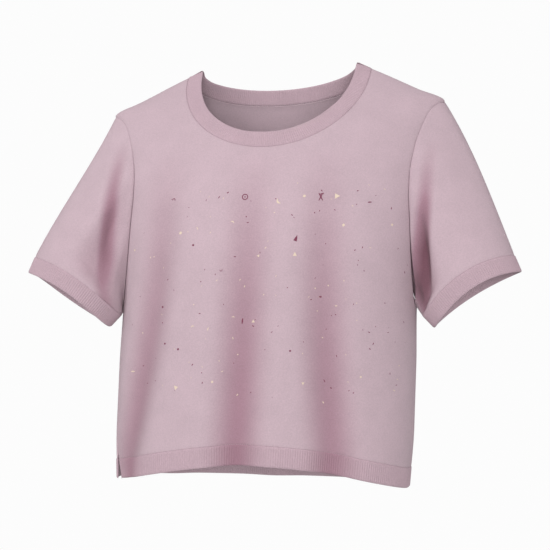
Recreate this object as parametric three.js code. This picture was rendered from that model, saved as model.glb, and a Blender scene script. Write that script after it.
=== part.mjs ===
import * as THREE from 'three';

// A knitted crop top, hollow and filled out as if worn. Millimetres, +Z up.
// The wearer's left is +X and the front is -Y.
// The origin lies midway between the two points where the shoulders meet the neck opening.

// Cloth
const clothWall = 1.3;
const bandWall = 1.6;
const ribRise = 0.5;
const ribPitch = 2.6;
const plainPerRibColumn = 4;

// Clearance that each piece keeps from its seam line
const seamRetreat = 0.25;
const armholeClearance = 0.7;
const cuffSeamClearance = 0.4;

// Shoulders and neck
const neckSeamWidth = 222;
const neckBandWidth = 19;
const neckLean = { front: 0.1, back: 0.48 };
const neckLeanSpread = 0.7;
const neckSeamAtShoulder = -6;
const neckSeamAtFront = -111;
const neckSeamAtBack = -36;
const neckShift = -4.5;
const shoulderTipHeight = -52;

// Side seams and hem
const sideSeamForward = 22;
const hemBandWidth = 23;
const hemAtSide = -493.5;
const hemFrontRise = 29;
const hemBackRise = -4.5;
const hemTilt = 2.3;
const hemCurve = 1.3;

// It hangs a little askew: the top lies towards +X, and the shoulder on that side is higher
const leanPerHeight = 0.036;
const uprightHeight = -265;
const shoulderTilt = 0.03;
const tiltFoot = -250;

// Sleeve openings, given for the sleeve on +X
const cuffBandWidth = 20;
const cuffRim = { x: { left: 240, right: 236 }, y: -28, z: -281.7 };
const cuffRimHalfLength = 57.8;
const cuffSeamHalfLength = 60.8;
const cuffHalfDepth = 42;
const cuffTurn = THREE.MathUtils.degToRad(57);
const cuffOuterBend = { left: 0.36, right: 0.16 };
const cuffArch = {
  left: { front: 15, back: 5 },
  right: { front: 10, back: -6 },
};

// How a sleeve leaves its armhole: outward over down, less at the underarm and on top
const sleeveFlow = { outward: 0.62, down: 0.66, forward: 0.45, underarmLess: 0.2 };
const sleeveTopLess = { left: 0.23, right: 0.29 };

// Horizontal sections of the body. front, ridge and back are depths (Y) at the centre
// front, at the side and at the centre back. square is 2 for an ellipse and more for a boxier one.
const bodySections = [
  { z: 10, halfWidth: 76, front: 8, ridge: 16, back: 20, square: 2.1 },
  { z: -6, halfWidth: 111, front: -3, ridge: 15, back: 31, square: 2.1 },
  { z: -16, halfWidth: 131, front: -10, ridge: 13.5, back: 46, square: 2.1 },
  { z: -25.5, halfWidth: 149, front: -16, ridge: 12, back: 58, square: 2.15 },
  { z: -35, halfWidth: 167, front: -22, ridge: 10.5, back: 66, square: 2.15 },
  { z: -52, halfWidth: 199, front: -33, ridge: 8, back: 75, square: 2.2 },
  { z: -75, halfWidth: 195, front: -51, ridge: 6, back: 82, square: 2.25 },
  { z: -111, halfWidth: 189, front: -72, ridge: 4, back: 89, square: 2.3 },
  { z: -150, halfWidth: 183, front: -87, ridge: 2, back: 94, square: 2.3 },
  { z: -200, halfWidth: 178, front: -100, ridge: 0, back: 95, square: 2.2 },
  { z: -240, halfWidth: 175, front: -105, ridge: -1, back: 93, square: 2.15 },
  { z: -290, halfWidth: 173.5, front: -104, ridge: -2, back: 90, square: 2.1 },
  { z: -360, halfWidth: 175, front: -99, ridge: -2, back: 90, square: 2.1 },
  { z: -430, halfWidth: 175, front: -94, ridge: -2, back: 91, square: 2.1 },
  { z: -510, halfWidth: 171.5, front: -91, ridge: -2, back: 92, square: 2.1 },
];

// The armhole seam from the shoulder tip to the underarm, as depths on the front and on the back
const armholeSeam = [
  { z: -52, front: 8, back: 8 },
  { z: -57, front: -7, back: 29 },
  { z: -68, front: -17.5, back: 40 },
  { z: -84, front: -27, back: 46 },
  { z: -110, front: -39.5, back: 52 },
  { z: -146, front: -49, back: 56 },
  { z: -170, front: -51, back: 53 },
  { z: -195, front: -49, back: 47.5 },
  { z: -225, front: -45, back: 41 },
  { z: -255, front: -38, back: 32 },
  { z: -274, front: -31, back: 20 },
  { z: -284, front: -26, back: 5 },
  { z: -288, front: -22, back: -22 },
];

// Creases as soft troughs down the body: across is measured round the body from the centre of
// the front or back. Each deepens from its top to its foot and runs on below it, and its path
// bends more and more sideways.
const bodyCreases = [
  { panel: 'front', topAcross: -116, top: -110, footAcross: -160, foot: -440, halfWidth: 44, depth: 9 },
  { panel: 'front', topAcross: -15, top: -110, footAcross: -22, foot: -440, halfWidth: 46, depth: 10 },
  { panel: 'front', topAcross: 65, top: -110, footAcross: 85, foot: -440, halfWidth: 46, depth: 9 },
  { panel: 'back', topAcross: -88, top: -150, footAcross: -118, foot: -450, halfWidth: 46, depth: 8 },
  { panel: 'back', topAcross: -6, top: -190, footAcross: 2, foot: -440, halfWidth: 50, depth: 7 },
  { panel: 'back', topAcross: 82, top: -140, footAcross: 116, foot: -450, halfWidth: 44, depth: 8 },
];
const creaseSharpness = 1.5;

// Sleeve troughs: round is 0 at the underarm, a quarter at the front, a half on top of the shoulder
// and three quarters at the back, from is at the armhole side and to at the cuff side. They fade
// out over a share of the sleeve's length at each end.
const sleeveCreaseFade = { armhole: 0.3, cuff: 0.2 };
const sleeveCreases = {
  left: [
    { from: 0.17, to: 0.1, halfWidth: 0.09, depth: 8 },
    { from: 0.84, to: 0.88, halfWidth: 0.09, depth: 6 },
  ],
  right: [
    { from: 0.24, to: 0.2, halfWidth: 0.1, depth: 8 },
    { from: 0.78, to: 0.84, halfWidth: 0.1, depth: 6 },
  ],
};

// Grid counts
const sideRows = { front: 8, back: 5 };
const armholeRows = 12;
const shoulderColumns = { front: 5, back: 4 };
const neckColumns = { front: 32, back: 22 };
const sleeveRows = 10;
const sectionSteps = 120;
const armholeSteps = 80;
const neckSteps = 120;
const cuffSteps = 240;

// How fast a panel's side shape fades towards its middle, faster near the top, and the angle that
// a direction is read over
const sideFade = 5;
const topFade = 6;
const topFadeCurve = 12;
const smallTurn = 0.01;

const bodyPink = 0xc9aab5;
const sleevePink = 0xc6a6b2;
const ribPink = 0xc2a0ad;

// Reads one column of a table at any height, smoothly between its rows
function column(rows, name) {
  const heights = rows.map((row) => row.z);
  const values = rows.map((row) => row[name]);
  const slopeAt = (i) => {
    if (i === 0 || i === rows.length - 1) return 0;
    const before = (values[i] - values[i - 1]) / (heights[i] - heights[i - 1]);
    const after = (values[i + 1] - values[i]) / (heights[i + 1] - heights[i]);
    return before * after > 0 ? (2 * before * after) / (before + after) : 0;
  };
  return (z) => {
    let i = 0;
    while (i < rows.length - 2 && z < heights[i + 1]) i += 1;
    const span = heights[i + 1] - heights[i];
    const t = THREE.MathUtils.clamp((z - heights[i]) / span, 0, 1);
    const rise = values[i + 1] - values[i];
    const startSlope = slopeAt(i) * span;
    const endSlope = slopeAt(i + 1) * span;
    const bend = startSlope + endSlope - 2 * rise;
    return values[i] + startSlope * t + (3 * rise - 2 * startSlope - endSlope) * t * t + bend * t * t * t;
  };
}

const body = {
  halfWidth: column(bodySections, 'halfWidth'),
  front: column(bodySections, 'front'),
  ridge: column(bodySections, 'ridge'),
  back: column(bodySections, 'back'),
  square: column(bodySections, 'square'),
};

// The smooth body form. angle is 0 at the centre front and half a turn at the centre back.
function formPoint(angle, z) {
  const ridge = body.ridge(z);
  const depth = Math.cos(angle) > 0 ? ridge - body.front(z) : body.back(z) - ridge;
  const power = body.square(z);
  const across = Math.abs(Math.sin(angle)) / body.halfWidth(z);
  const along = Math.abs(Math.cos(angle)) / depth;
  const reach = (across ** power + along ** power) ** (-1 / power);
  return new THREE.Vector3(reach * Math.sin(angle), ridge - reach * Math.cos(angle), z);
}

// Half of one section as a run of points from centre front to centre back, with lengths
function halfSection(z) {
  const steps = [];
  let length = 0;
  let last = null;
  for (let i = 0; i <= sectionSteps; i += 1) {
    const angle = (Math.PI * i) / sectionSteps;
    const point = formPoint(angle, z);
    if (last) length += point.distanceTo(last);
    steps.push({ angle, length, y: point.y });
    last = point;
  }
  return steps;
}

// Between the two steps where the named value passes the target, reads another named value
function readSection(steps, name, target, wanted) {
  let i = 0;
  while (i < steps.length - 2 && steps[i + 1][name] < target) i += 1;
  const t = (target - steps[i][name]) / (steps[i + 1][name] - steps[i][name]);
  return steps[i][wanted] + t * (steps[i + 1][wanted] - steps[i][wanted]);
}

const halfGirth = (z) => halfSection(z).at(-1).length;

const softStep = (t) => {
  const s = THREE.MathUtils.clamp(t, 0, 1);
  return s * s * (3 - 2 * s);
};
const softBump = (t) => (Math.abs(t) < 1 ? (1 + Math.cos(Math.PI * t)) / 2 : 0);

// How far the creases press a panel in. across is measured round the body from the panel's own
// centre and is positive towards +X, on the front and on the back.
function creaseDepth(panel, across, z) {
  let depth = 0;
  for (const crease of bodyCreases) {
    const down = Math.max((crease.top - z) / (crease.top - crease.foot), 0);
    const middle = THREE.MathUtils.lerp(crease.topAcross, crease.footAcross, down ** 2);
    const bump = softBump((across - middle) / crease.halfWidth) ** creaseSharpness;
    const deepening = Math.sin((Math.PI / 2) * Math.min(down, 1));
    if (crease.panel === panel) depth += crease.depth * deepening * bump;
  }
  return depth;
}

// The outer face of a panel, and the direction straight out of it
function clothPoint(panel, across, z) {
  const steps = halfSection(z);
  const fromFront = panel === 'front' ? Math.abs(across) : steps.at(-1).length - Math.abs(across);
  const angle = readSection(steps, 'length', fromFront, 'angle') * (across < 0 ? -1 : 1);
  const point = formPoint(angle, z);
  const round = formPoint(angle + smallTurn, z).sub(formPoint(angle - smallTurn, z));
  const up = formPoint(angle, z + 1).sub(formPoint(angle, z - 1));
  return hangAskew(point.addScaledVector(round.cross(up).normalize(), -creaseDepth(panel, across, z)));
}

function hangAskew(point) {
  const high = softStep((point.z - tiltFoot) / (shoulderTipHeight - tiltFoot));
  point.x += leanPerHeight * (point.z - uprightHeight);
  point.z += shoulderTilt * point.x * high;
  return point;
}

function clothNormal(panel, across, z) {
  const round = clothPoint(panel, across + 1, z).sub(clothPoint(panel, across - 1, z));
  const up = clothPoint(panel, across, z + 1).sub(clothPoint(panel, across, z - 1));
  return round.cross(up).normalize().multiplyScalar(panel === 'front' ? 1 : -1);
}

// A place on a panel's flat pattern: how far across from its centre, and the height
const place = (across, z) => ({ across, z });
const mirrored = ({ across, z }) => place(-across, z);
const mixPlaces = (a, b, t) => place(a.across + (b.across - a.across) * t, a.z + (b.z - a.z) * t);
const placeDistance = (a, b) => Math.hypot(a.across - b.across, a.z - b.z);

// Evenly spaced entries along a run of places or points
function evenly(run, count, distance, mix) {
  const lengths = [0];
  for (let i = 1; i < run.length; i += 1) lengths.push(lengths[i - 1] + distance(run[i - 1], run[i]));
  const result = [];
  let i = 0;
  for (let k = 0; k <= count; k += 1) {
    const target = (lengths.at(-1) * k) / count;
    while (i < run.length - 2 && lengths[i + 1] < target) i += 1;
    const t = (target - lengths[i]) / (lengths[i + 1] - lengths[i]);
    result.push(mix(run[i], run[i + 1], t));
  }
  return result;
}
const evenPlaces = (places, count) => evenly(places, count, placeDistance, mixPlaces);

// The form's own measure, from the centre front, turned into the measure from a panel's centre
function fromPanelCentre(panel, fromFront, z) {
  return panel === 'front' ? fromFront : halfGirth(z) - fromFront;
}
const acrossAtDepth = (panel, y, z) =>
  fromPanelCentre(panel, readSection(halfSection(z), 'y', y, 'length'), z);

// Where the form at one height reaches a given width, on the front or back half
function acrossAtWidth(panel, x, z) {
  let narrow = panel === 'front' ? 0 : Math.PI;
  let wide = Math.PI / 2;
  for (let i = 0; i < 40; i += 1) {
    const middle = (narrow + wide) / 2;
    if (formPoint(middle, z).x < x) narrow = middle;
    else wide = middle;
  }
  return fromPanelCentre(panel, readSection(halfSection(z), 'angle', wide, 'length'), z);
}

// Half of a panel's width at the hem seam and below, where the side seam runs
const sideSeamAcross = (panel, z) => acrossAtDepth(panel, -sideSeamForward, z);

// Height of the hem's lower edge, at one share of the way from a panel's centre to its side seam
function hemRimHeight(panel, share) {
  const rise = panel === 'front' ? hemFrontRise : hemBackRise;
  const middle = Math.max(Math.cos((Math.PI / 2) * share), 0) ** hemCurve;
  return hemAtSide + rise * middle - hemTilt * share;
}

// A place a given way up from the hem's lower edge
function hemPlace(panel, share, up) {
  const z = hemRimHeight(panel, share) + up;
  return place(share * sideSeamAcross(panel, z), z);
}

const armholeDepth = {
  front: column(armholeSeam, 'front'),
  back: column(armholeSeam, 'back'),
};
const underarmHeight = armholeSeam.at(-1).z;

// The armhole seam on one panel from the underarm to the shoulder tip
function armholePlaces(panel) {
  const places = [];
  for (let i = 0; i <= armholeSteps; i += 1) {
    const share = (1 - Math.cos((Math.PI * i) / armholeSteps)) / 2;
    const z = THREE.MathUtils.lerp(underarmHeight, shoulderTipHeight, share);
    places.push(place(acrossAtDepth(panel, armholeDepth[panel](z), z), z));
  }
  return evenPlaces(places, armholeRows);
}

// The seam between a panel and the neckband, from the shoulder on -X to the one on +X
function neckPlaces(panel, count) {
  const lowest = panel === 'front' ? neckSeamAtFront : neckSeamAtBack;
  const places = [];
  for (let i = 0; i <= neckSteps; i += 1) {
    const turn = Math.PI * (i / neckSteps - 0.5);
    const x = (neckSeamWidth / 2) * Math.sin(turn) + neckShift * Math.cos(turn);
    const z = neckSeamAtShoulder + (lowest - neckSeamAtShoulder) * Math.cos(turn);
    const onRidge = i === 0 || i === neckSteps;
    const reach = onRidge ? acrossAtDepth(panel, body.ridge(z), z) : acrossAtWidth(panel, Math.abs(x), z);
    const across = Math.sign(x) * reach;
    places.push({ across, z, point: clothPoint(panel, across, z) });
  }
  return evenly(places, count, (a, b) => a.point.distanceTo(b.point), mixPlaces);
}

// The shoulder seam along the ridge, from the shoulder tip to the neck, on +X
function shoulderPlaces(panel, count) {
  const places = [];
  for (let i = 0; i <= count; i += 1) {
    const z = THREE.MathUtils.lerp(shoulderTipHeight, neckSeamAtShoulder, i / count);
    places.push(place(acrossAtDepth(panel, body.ridge(z), z), z));
  }
  return places;
}

// The side seam and the armhole above it, on -X or +X by the sign
function sideRun(panel, sign) {
  const count = sideRows[panel];
  const foot = hemPlace(panel, sign, hemBandWidth).z;
  const run = [];
  for (let i = 0; i < count; i += 1) {
    const z = THREE.MathUtils.lerp(foot, underarmHeight, i / count);
    run.push(place(sideSeamAcross(panel, z), z));
  }
  run.push(...armholePlaces(panel));
  return sign < 0 ? run.map(mirrored) : run;
}

// One panel's pattern as a grid of places, rows going up and columns going from -X to +X,
// filled in smoothly between its hem, side and armhole, and shoulder and neck edges
function panelGrid(panel) {
  const [left, right] = [-1, 1].map((sign) => sideRun(panel, sign));
  const shoulder = shoulderPlaces(panel, shoulderColumns[panel]);
  const neck = neckPlaces(panel, neckColumns[panel]);
  const top = [...shoulder.map(mirrored), ...neck.slice(1, -1), ...shoulder.toReversed()];
  const columns = top.length - 1;
  const rows = right.length - 1;
  const bottom = top.map((_, j) => hemPlace(panel, (2 * j) / columns - 1, hemBandWidth));
  const grid = [];
  for (let i = 0; i <= rows; i += 1) {
    const row = [];
    for (let j = 0; j <= columns; j += 1) {
      const between = mixPlaces(bottom[j], top[j], i / rows);
      const end = 2 * j < columns ? 0 : columns;
      const side = end === 0 ? left[i] : right[i];
      const straight = mixPlaces(bottom[end], top[end], i / rows);
      const fade = sideFade + topFade * (i / rows) ** topFadeCurve;
      const nearSide = Math.abs((2 * j) / columns - 1) ** fade;
      const across = between.across + nearSide * (side.across - straight.across);
      row.push(place(across, between.z + nearSide * (side.z - straight.z)));
    }
    grid.push(row);
  }
  return grid;
}

// Draws the whole edge of a grid in from its seams, square to them, corners too
function retreatEdges(grid) {
  const rows = grid.length - 1;
  const columns = grid[0].length - 1;
  const edge = [];
  for (let j = 0; j < columns; j += 1) edge.push([0, j]);
  for (let i = 0; i < rows; i += 1) edge.push([i, columns]);
  for (let j = columns; j > 0; j -= 1) edge.push([rows, j]);
  for (let i = rows; i > 0; i -= 1) edge.push([i, 0]);
  const spots = edge.map(([i, j]) => grid[i][j]);
  const inward = spots.map((spot, k) => {
    const next = spots[(k + 1) % spots.length];
    const length = placeDistance(spot, next);
    return { across: (spot.z - next.z) / length, z: (next.across - spot.across) / length };
  });
  const moved = grid.map((row) => [...row]);
  edge.forEach(([i, j], k) => {
    const before = inward.at(k - 1);
    const after = inward[k];
    const reach = seamRetreat / (1 + before.across * after.across + before.z * after.z);
    const acrossStep = (before.across + after.across) * reach;
    moved[i][j] = place(spots[k].across + acrossStep, spots[k].z + (before.z + after.z) * reach);
  });
  return moved;
}

// Triangles that close a wall along one edge, from its outer to its inner run of points.
// The outer run may have several points to each inner one.
function edgeTriangles(outerRun, innerRun, reversed) {
  const perInner = (outerRun.length - 1) / (innerRun.length - 1);
  const triangles = [];
  const add = (a, b, c) => triangles.push(...(reversed ? [a, c, b] : [a, b, c]));
  for (let k = 0; k < innerRun.length - 1; k += 1) {
    const first = k * perInner;
    const middle = first + Math.floor(perInner / 2);
    for (let o = first; o < middle; o += 1) add(outerRun[o + 1], outerRun[o], innerRun[k]);
    add(outerRun[middle], innerRun[k], innerRun[k + 1]);
    for (let o = middle; o < first + perInner; o += 1) add(outerRun[o + 1], outerRun[o], innerRun[k + 1]);
  }
  return triangles;
}

// A closed wall from the rows of points of its outer and inner faces. A ring joins its last
// column to its first.
function wallGeometry(outer, inner, ring) {
  const positions = [];
  const indexRows = (rows) =>
    rows.map((row) => {
      const indices = row.map((point) => positions.push(point.x, point.y, point.z) / 3 - 1);
      return ring ? [...indices, indices[0]] : indices;
    });
  const outside = indexRows(outer);
  const inside = indexRows(inner);
  const faces = [];
  const addFace = (rows, reversed) => {
    for (let i = 0; i < rows.length - 1; i += 1) {
      for (let j = 0; j < rows[i].length - 1; j += 1) {
        const [a, b, c, d] = [rows[i][j], rows[i][j + 1], rows[i + 1][j + 1], rows[i + 1][j]];
        faces.push(...(reversed ? [a, c, b, a, d, c] : [a, b, c, a, c, d]));
      }
    }
  };
  addFace(outside, false);
  addFace(inside, true);
  faces.push(...edgeTriangles(outside[0], inside[0], false));
  faces.push(...edgeTriangles(outside.at(-1), inside.at(-1), true));
  if (!ring) {
    const endOf = (rows, at) => rows.map((row) => row.at(at));
    faces.push(...edgeTriangles(endOf(outside, -1), endOf(inside, -1), false));
    faces.push(...edgeTriangles(endOf(outside, 0), endOf(inside, 0), true));
  }
  const geometry = new THREE.BufferGeometry();
  geometry.setAttribute('position', new THREE.Float32BufferAttribute(positions, 3));
  geometry.setIndex(signedVolume(positions, faces) < 0 ? faces.toReversed() : faces);
  geometry.computeVertexNormals();
  return geometry;
}

function signedVolume(positions, faces) {
  const corner = (i) => new THREE.Vector3().fromArray(positions, faces[i] * 3);
  let volume = 0;
  for (let i = 0; i < faces.length; i += 3) {
    volume += corner(i).dot(corner(i + 1).cross(corner(i + 2))) / 6;
  }
  return volume;
}

function knitMesh(name, color, geometry) {
  const material = new THREE.MeshStandardMaterial({ color, roughness: 0.92, metalness: 0 });
  const mesh = new THREE.Mesh(geometry, material);
  mesh.name = name;
  return mesh;
}

function panelMesh(panel) {
  const grid = retreatEdges(panelGrid(panel));
  const outer = grid.map((row) => row.map(({ across, z }) => clothPoint(panel, across, z)));
  const inner = grid.map((row, i) =>
    row.map(({ across, z }, j) => {
      const out = clothNormal(panel, across, z);
      return outer[i][j].clone().addScaledVector(out, -clothWall);
    }),
  );
  return knitMesh(panel, bodyPink, wallGeometry(outer, inner, false));
}

// A rib band: pairs of points on its outer face are a groove and a rib, and its inside is plain.
// Each entry of lines has the band's two edge points and the way out of the cloth.
function ribWall(lines, ring) {
  const raised = (edge) =>
    lines.map((line, k) => line[edge].clone().addScaledVector(line.out, k % 2 === 1 ? ribRise : 0));
  const plain = (edge) =>
    lines
      .filter((_, k) => k % plainPerRibColumn === 0)
      .map((line) => line[edge].clone().addScaledVector(line.out, -bandWall));
  return wallGeometry([raised('low'), raised('high')], [plain('low'), plain('high')], ring);
}

// How many columns a band of this length has, two to a rib and a whole number to each inner column
function ribColumns(length) {
  return plainPerRibColumn * Math.round((2 * length) / (ribPitch * plainPerRibColumn));
}

function hemMesh(panel) {
  const width = 2 * sideSeamAcross(panel, hemAtSide);
  const columns = ribColumns(width);
  const endShare = 1 - (2 * seamRetreat) / width;
  const lines = [];
  for (let k = 0; k <= columns; k += 1) {
    const share = ((2 * k) / columns - 1) * endShare;
    const low = hemPlace(panel, share, 0);
    const high = hemPlace(panel, share, hemBandWidth - seamRetreat);
    lines.push({
      low: clothPoint(panel, low.across, low.z),
      high: clothPoint(panel, high.across, high.z),
      out: clothNormal(panel, high.across, high.z),
    });
  }
  return knitMesh(`hem_${panel}`, ribPink, ribWall(lines, false));
}

// The neckband stands on the panels' own neck edges as one ring: over the front from -X, and back
// over the back. It goes on in the direction of the cloth, and stands up from it where it leans.
function neckbandMesh() {
  const seam = [];
  for (const panel of ['front', 'back']) {
    const count = neckColumns[panel];
    const places = neckPlaces(panel, count);
    if (panel === 'back') places.reverse();
    for (const [k, { across, z }] of places.slice(0, -1).entries()) {
      const lean = neckLean[panel] * Math.sin((Math.PI * k) / count) ** neckLeanSpread;
      seam.push({ point: clothPoint(panel, across, z), normal: clothNormal(panel, across, z), lean });
    }
  }
  const corners = seam.map(({ point, normal, lean }, k) => {
    const round = seam[(k + 1) % seam.length].point.clone().sub(seam.at(k - 1).point);
    const up = normal.clone().cross(round).normalize().addScaledVector(normal, lean).normalize();
    return {
      low: point.clone().addScaledVector(up, seamRetreat),
      high: point.clone().addScaledVector(up, neckBandWidth),
      out: round.cross(up).normalize(),
    };
  });
  const loop = [...corners, corners[0]];
  const seamGirth = corners.reduce((sum, corner, k) => sum + corner.low.distanceTo(loop[k + 1].low), 0);
  const mixLines = (a, b, t) => ({
    low: a.low.clone().lerp(b.low, t),
    high: a.high.clone().lerp(b.high, t),
    out: a.out.clone().lerp(b.out, t).normalize(),
  });
  const lines = evenly(loop, ribColumns(seamGirth), (a, b) => a.low.distanceTo(b.low), mixLines);
  return knitMesh('neckband', ribPink, ribWall(lines.slice(0, -1), true));
}

// The sleeve on +X. Round it, turn is 0 on the outer side, a quarter turn at the front and half
// a turn at the underarm.
const cuffAlong = new THREE.Vector3(Math.cos(cuffTurn), 0, -Math.sin(cuffTurn));
const cuffOut = new THREE.Vector3(Math.sin(cuffTurn), 0, Math.cos(cuffTurn));
const cuffForward = new THREE.Vector3(0, -1, 0);

// A point of the cuff, a given way back from its rim. The rim arches up at the front.
function cuffPoint(side, turn, back) {
  const arch = (Math.sin(turn) > 0 ? cuffArch[side].front : cuffArch[side].back) * Math.sin(turn) ** 2;
  const halfLength = THREE.MathUtils.lerp(cuffRimHalfLength, cuffSeamHalfLength, back / cuffBandWidth);
  return new THREE.Vector3(cuffRim.x[side], cuffRim.y, cuffRim.z)
    .addScaledVector(cuffAlong, -back - arch)
    .addScaledVector(cuffOut, halfLength * Math.cos(turn))
    .addScaledVector(cuffForward, cuffHalfDepth * Math.sin(turn));
}

function cuffNormal(side, turn) {
  const round = cuffPoint(side, turn - smallTurn, 0).sub(cuffPoint(side, turn + smallTurn, 0));
  const up = cuffPoint(side, turn, cuffBandWidth).sub(cuffPoint(side, turn, 0));
  return round.cross(up).normalize();
}

// The way the sleeve runs into its cuff, steeper on the outer side
function cuffEntry(side, turn) {
  const bend = cuffOuterBend[side] * Math.max(Math.cos(turn), 0);
  return cuffAlong.clone().addScaledVector(cuffOut, -bend).normalize();
}

// The armhole as one loop of points, up the front from the underarm and down the back. The one
// on -X is turned over, because both sleeves are drawn on +X.
function armholeLoop(side) {
  const sign = side === 'left' ? 1 : -1;
  const run = (panel) => armholePlaces(panel).map(({ across, z }) => clothPoint(panel, sign * across, z));
  const loop = [...run('front'), ...run('back').reverse().slice(1, -1)];
  return loop.map(({ x, y, z }) => new THREE.Vector3(sign * x + armholeClearance, y, z));
}

// Which way the sleeve leaves the armhole at each point of the loop
function sleeveStart(side, point, reach) {
  const middle = new THREE.Vector3(point.x, 0, (shoulderTipHeight + underarmHeight) / 2);
  const radial = point.clone().sub(middle).normalize();
  const less = sleeveFlow.underarmLess * softStep(-radial.z) + sleeveTopLess[side] * softStep(radial.z);
  return new THREE.Vector3(sleeveFlow.outward - less, sleeveFlow.forward * radial.y, -sleeveFlow.down)
    .normalize()
    .multiplyScalar(reach);
}

// A smooth run from start to end that sets out and arrives in given directions
function smoothRun(start, from, end, to, t) {
  const [t2, t3] = [t * t, t * t * t];
  return new THREE.Vector3()
    .addScaledVector(start, 2 * t3 - 3 * t2 + 1)
    .addScaledVector(from, t3 - 2 * t2 + t)
    .addScaledVector(end, 3 * t2 - 2 * t3)
    .addScaledVector(to, t3 - t2);
}

function sleeveMesh(side) {
  const loop = armholeLoop(side);
  const columns = loop.length;
  const plainPoint = (j, t) => {
    const start = loop[j];
    const turn = Math.PI - (2 * Math.PI * j) / columns;
    const end = cuffPoint(side, turn, cuffBandWidth + cuffSeamClearance);
    const reach = start.distanceTo(end);
    const arrive = cuffEntry(side, turn).multiplyScalar(reach);
    return smoothRun(start, sleeveStart(side, start, reach), end, arrive, t);
  };
  const normalAt = (points, i, j) => {
    if (i === sleeveRows) return cuffNormal(side, Math.PI - (2 * Math.PI * j) / columns);
    const row = points[i];
    const round = row[(j + 1) % columns].clone().sub(row.at(j - 1));
    const down = points[Math.min(i + 1, sleeveRows)][j].clone().sub(points[Math.max(i - 1, 0)][j]);
    return down.cross(round).normalize();
  };
  const rows = [...Array(sleeveRows + 1).keys()];
  const plain = rows.map((i) => loop.map((_, j) => plainPoint(j, i / sleeveRows)));
  const outer = plain.map((row, i) =>
    row.map((point, j) => {
      const depth = sleeveCreaseDepth(side, j / columns, i / sleeveRows);
      return point.clone().addScaledVector(normalAt(plain, i, j), -depth);
    }),
  );
  const inner = outer.map((row, i) =>
    row.map((point, j) => point.clone().addScaledVector(normalAt(outer, i, j), -clothWall)),
  );
  return knitMesh(`sleeve_${side}`, sleevePink, onSide(side, wallGeometry(outer, inner, true)));
}

function sleeveCreaseDepth(side, round, along) {
  let depth = 0;
  for (const crease of sleeveCreases[side]) {
    const middle = THREE.MathUtils.lerp(crease.from, crease.to, along);
    const fade = softStep(along / sleeveCreaseFade.armhole) * softStep((1 - along) / sleeveCreaseFade.cuff);
    depth += crease.depth * fade * softBump((round - middle) / crease.halfWidth);
  }
  return depth;
}

function cuffMesh(side) {
  const rim = [];
  for (let k = 0; k <= cuffSteps; k += 1) {
    const turn = (2 * Math.PI * k) / cuffSteps;
    rim.push({ turn, point: cuffPoint(side, turn, 0) });
  }
  const distance = (a, b) => a.point.distanceTo(b.point);
  const girth = rim.slice(1).reduce((sum, entry, k) => sum + distance(rim[k], entry), 0);
  const mixTurns = (a, b, t) => ({ turn: THREE.MathUtils.lerp(a.turn, b.turn, t) });
  const turns = evenly(rim, ribColumns(girth), distance, mixTurns);
  const lines = turns.slice(0, -1).map(({ turn }) => ({
    low: cuffPoint(side, turn, 0),
    high: cuffPoint(side, turn, cuffBandWidth - seamRetreat),
    out: cuffNormal(side, turn),
  }));
  return knitMesh(`cuff_${side}`, ribPink, onSide(side, ribWall(lines, true)));
}

// Sleeves and cuffs are drawn on +X, the wearer's left. The right ones are mirrored.
function onSide(side, geometry) {
  if (side === 'left') return geometry;
  geometry.scale(-1, 1, 1);
  geometry.setIndex([...geometry.index.array].reverse());
  geometry.computeVertexNormals();
  return geometry;
}

const cropTop = new THREE.Group();
for (const panel of ['front', 'back']) cropTop.add(panelMesh(panel), hemMesh(panel));
for (const side of ['left', 'right']) cropTop.add(sleeveMesh(side), cuffMesh(side));
cropTop.add(neckbandMesh());

export default cropTop;
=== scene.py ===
# %% [markdown]
# # A knitted crop top
# The real object is a fine-gauge knitted top, cut short, with ribbed neckband, cuffs and hem.
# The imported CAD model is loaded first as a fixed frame. Each of its nine sewn pieces is then
# replaced by a finer shell of cloth on the same form, with its own folds, ribs and finish.

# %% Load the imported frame
import math

import bpy
import numpy as np
from mathutils import Matrix, Vector
from mathutils.geometry import delaunay_2d_cdt
from mathutils.kdtree import KDTree


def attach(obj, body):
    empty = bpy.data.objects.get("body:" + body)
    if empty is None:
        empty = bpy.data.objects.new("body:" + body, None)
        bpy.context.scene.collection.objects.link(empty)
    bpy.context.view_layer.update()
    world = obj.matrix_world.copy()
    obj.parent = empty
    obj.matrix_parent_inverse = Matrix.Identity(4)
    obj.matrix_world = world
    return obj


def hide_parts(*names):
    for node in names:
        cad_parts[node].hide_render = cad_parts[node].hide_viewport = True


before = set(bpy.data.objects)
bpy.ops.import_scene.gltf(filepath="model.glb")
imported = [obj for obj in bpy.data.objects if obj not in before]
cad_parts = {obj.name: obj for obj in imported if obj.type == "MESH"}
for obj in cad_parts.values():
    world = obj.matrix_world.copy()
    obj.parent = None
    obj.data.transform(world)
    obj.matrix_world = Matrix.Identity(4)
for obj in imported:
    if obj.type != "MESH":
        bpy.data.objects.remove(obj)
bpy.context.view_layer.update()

MM = 0.001
print("nodes:", ", ".join(sorted(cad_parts)))

# %% [markdown]
# ## Camera
# The photograph was taken almost square to the front, a little from the wearer's left and from
# just below the middle of the garment. A distance of 1.2 m gives the same slight perspective.
# The camera's axes are worked out from its azimuth, elevation and roll, so that nothing needs
# to be tracked. The tiny shift sets the garment's middle where the photograph has it.

# %% The camera
PHOTO_WIDTH = 550
SENSOR = 36.0
CAMERA_AZIMUTH = 5.8
CAMERA_ELEVATION = -3.2
CAMERA_ROLL = 0.25
CAMERA_DISTANCE = 1.2
MM_PER_PIXEL = 1.188
AIM = Vector((0, 0, -0.25))
AIM_PIXEL = (270.0, 273.3)


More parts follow.
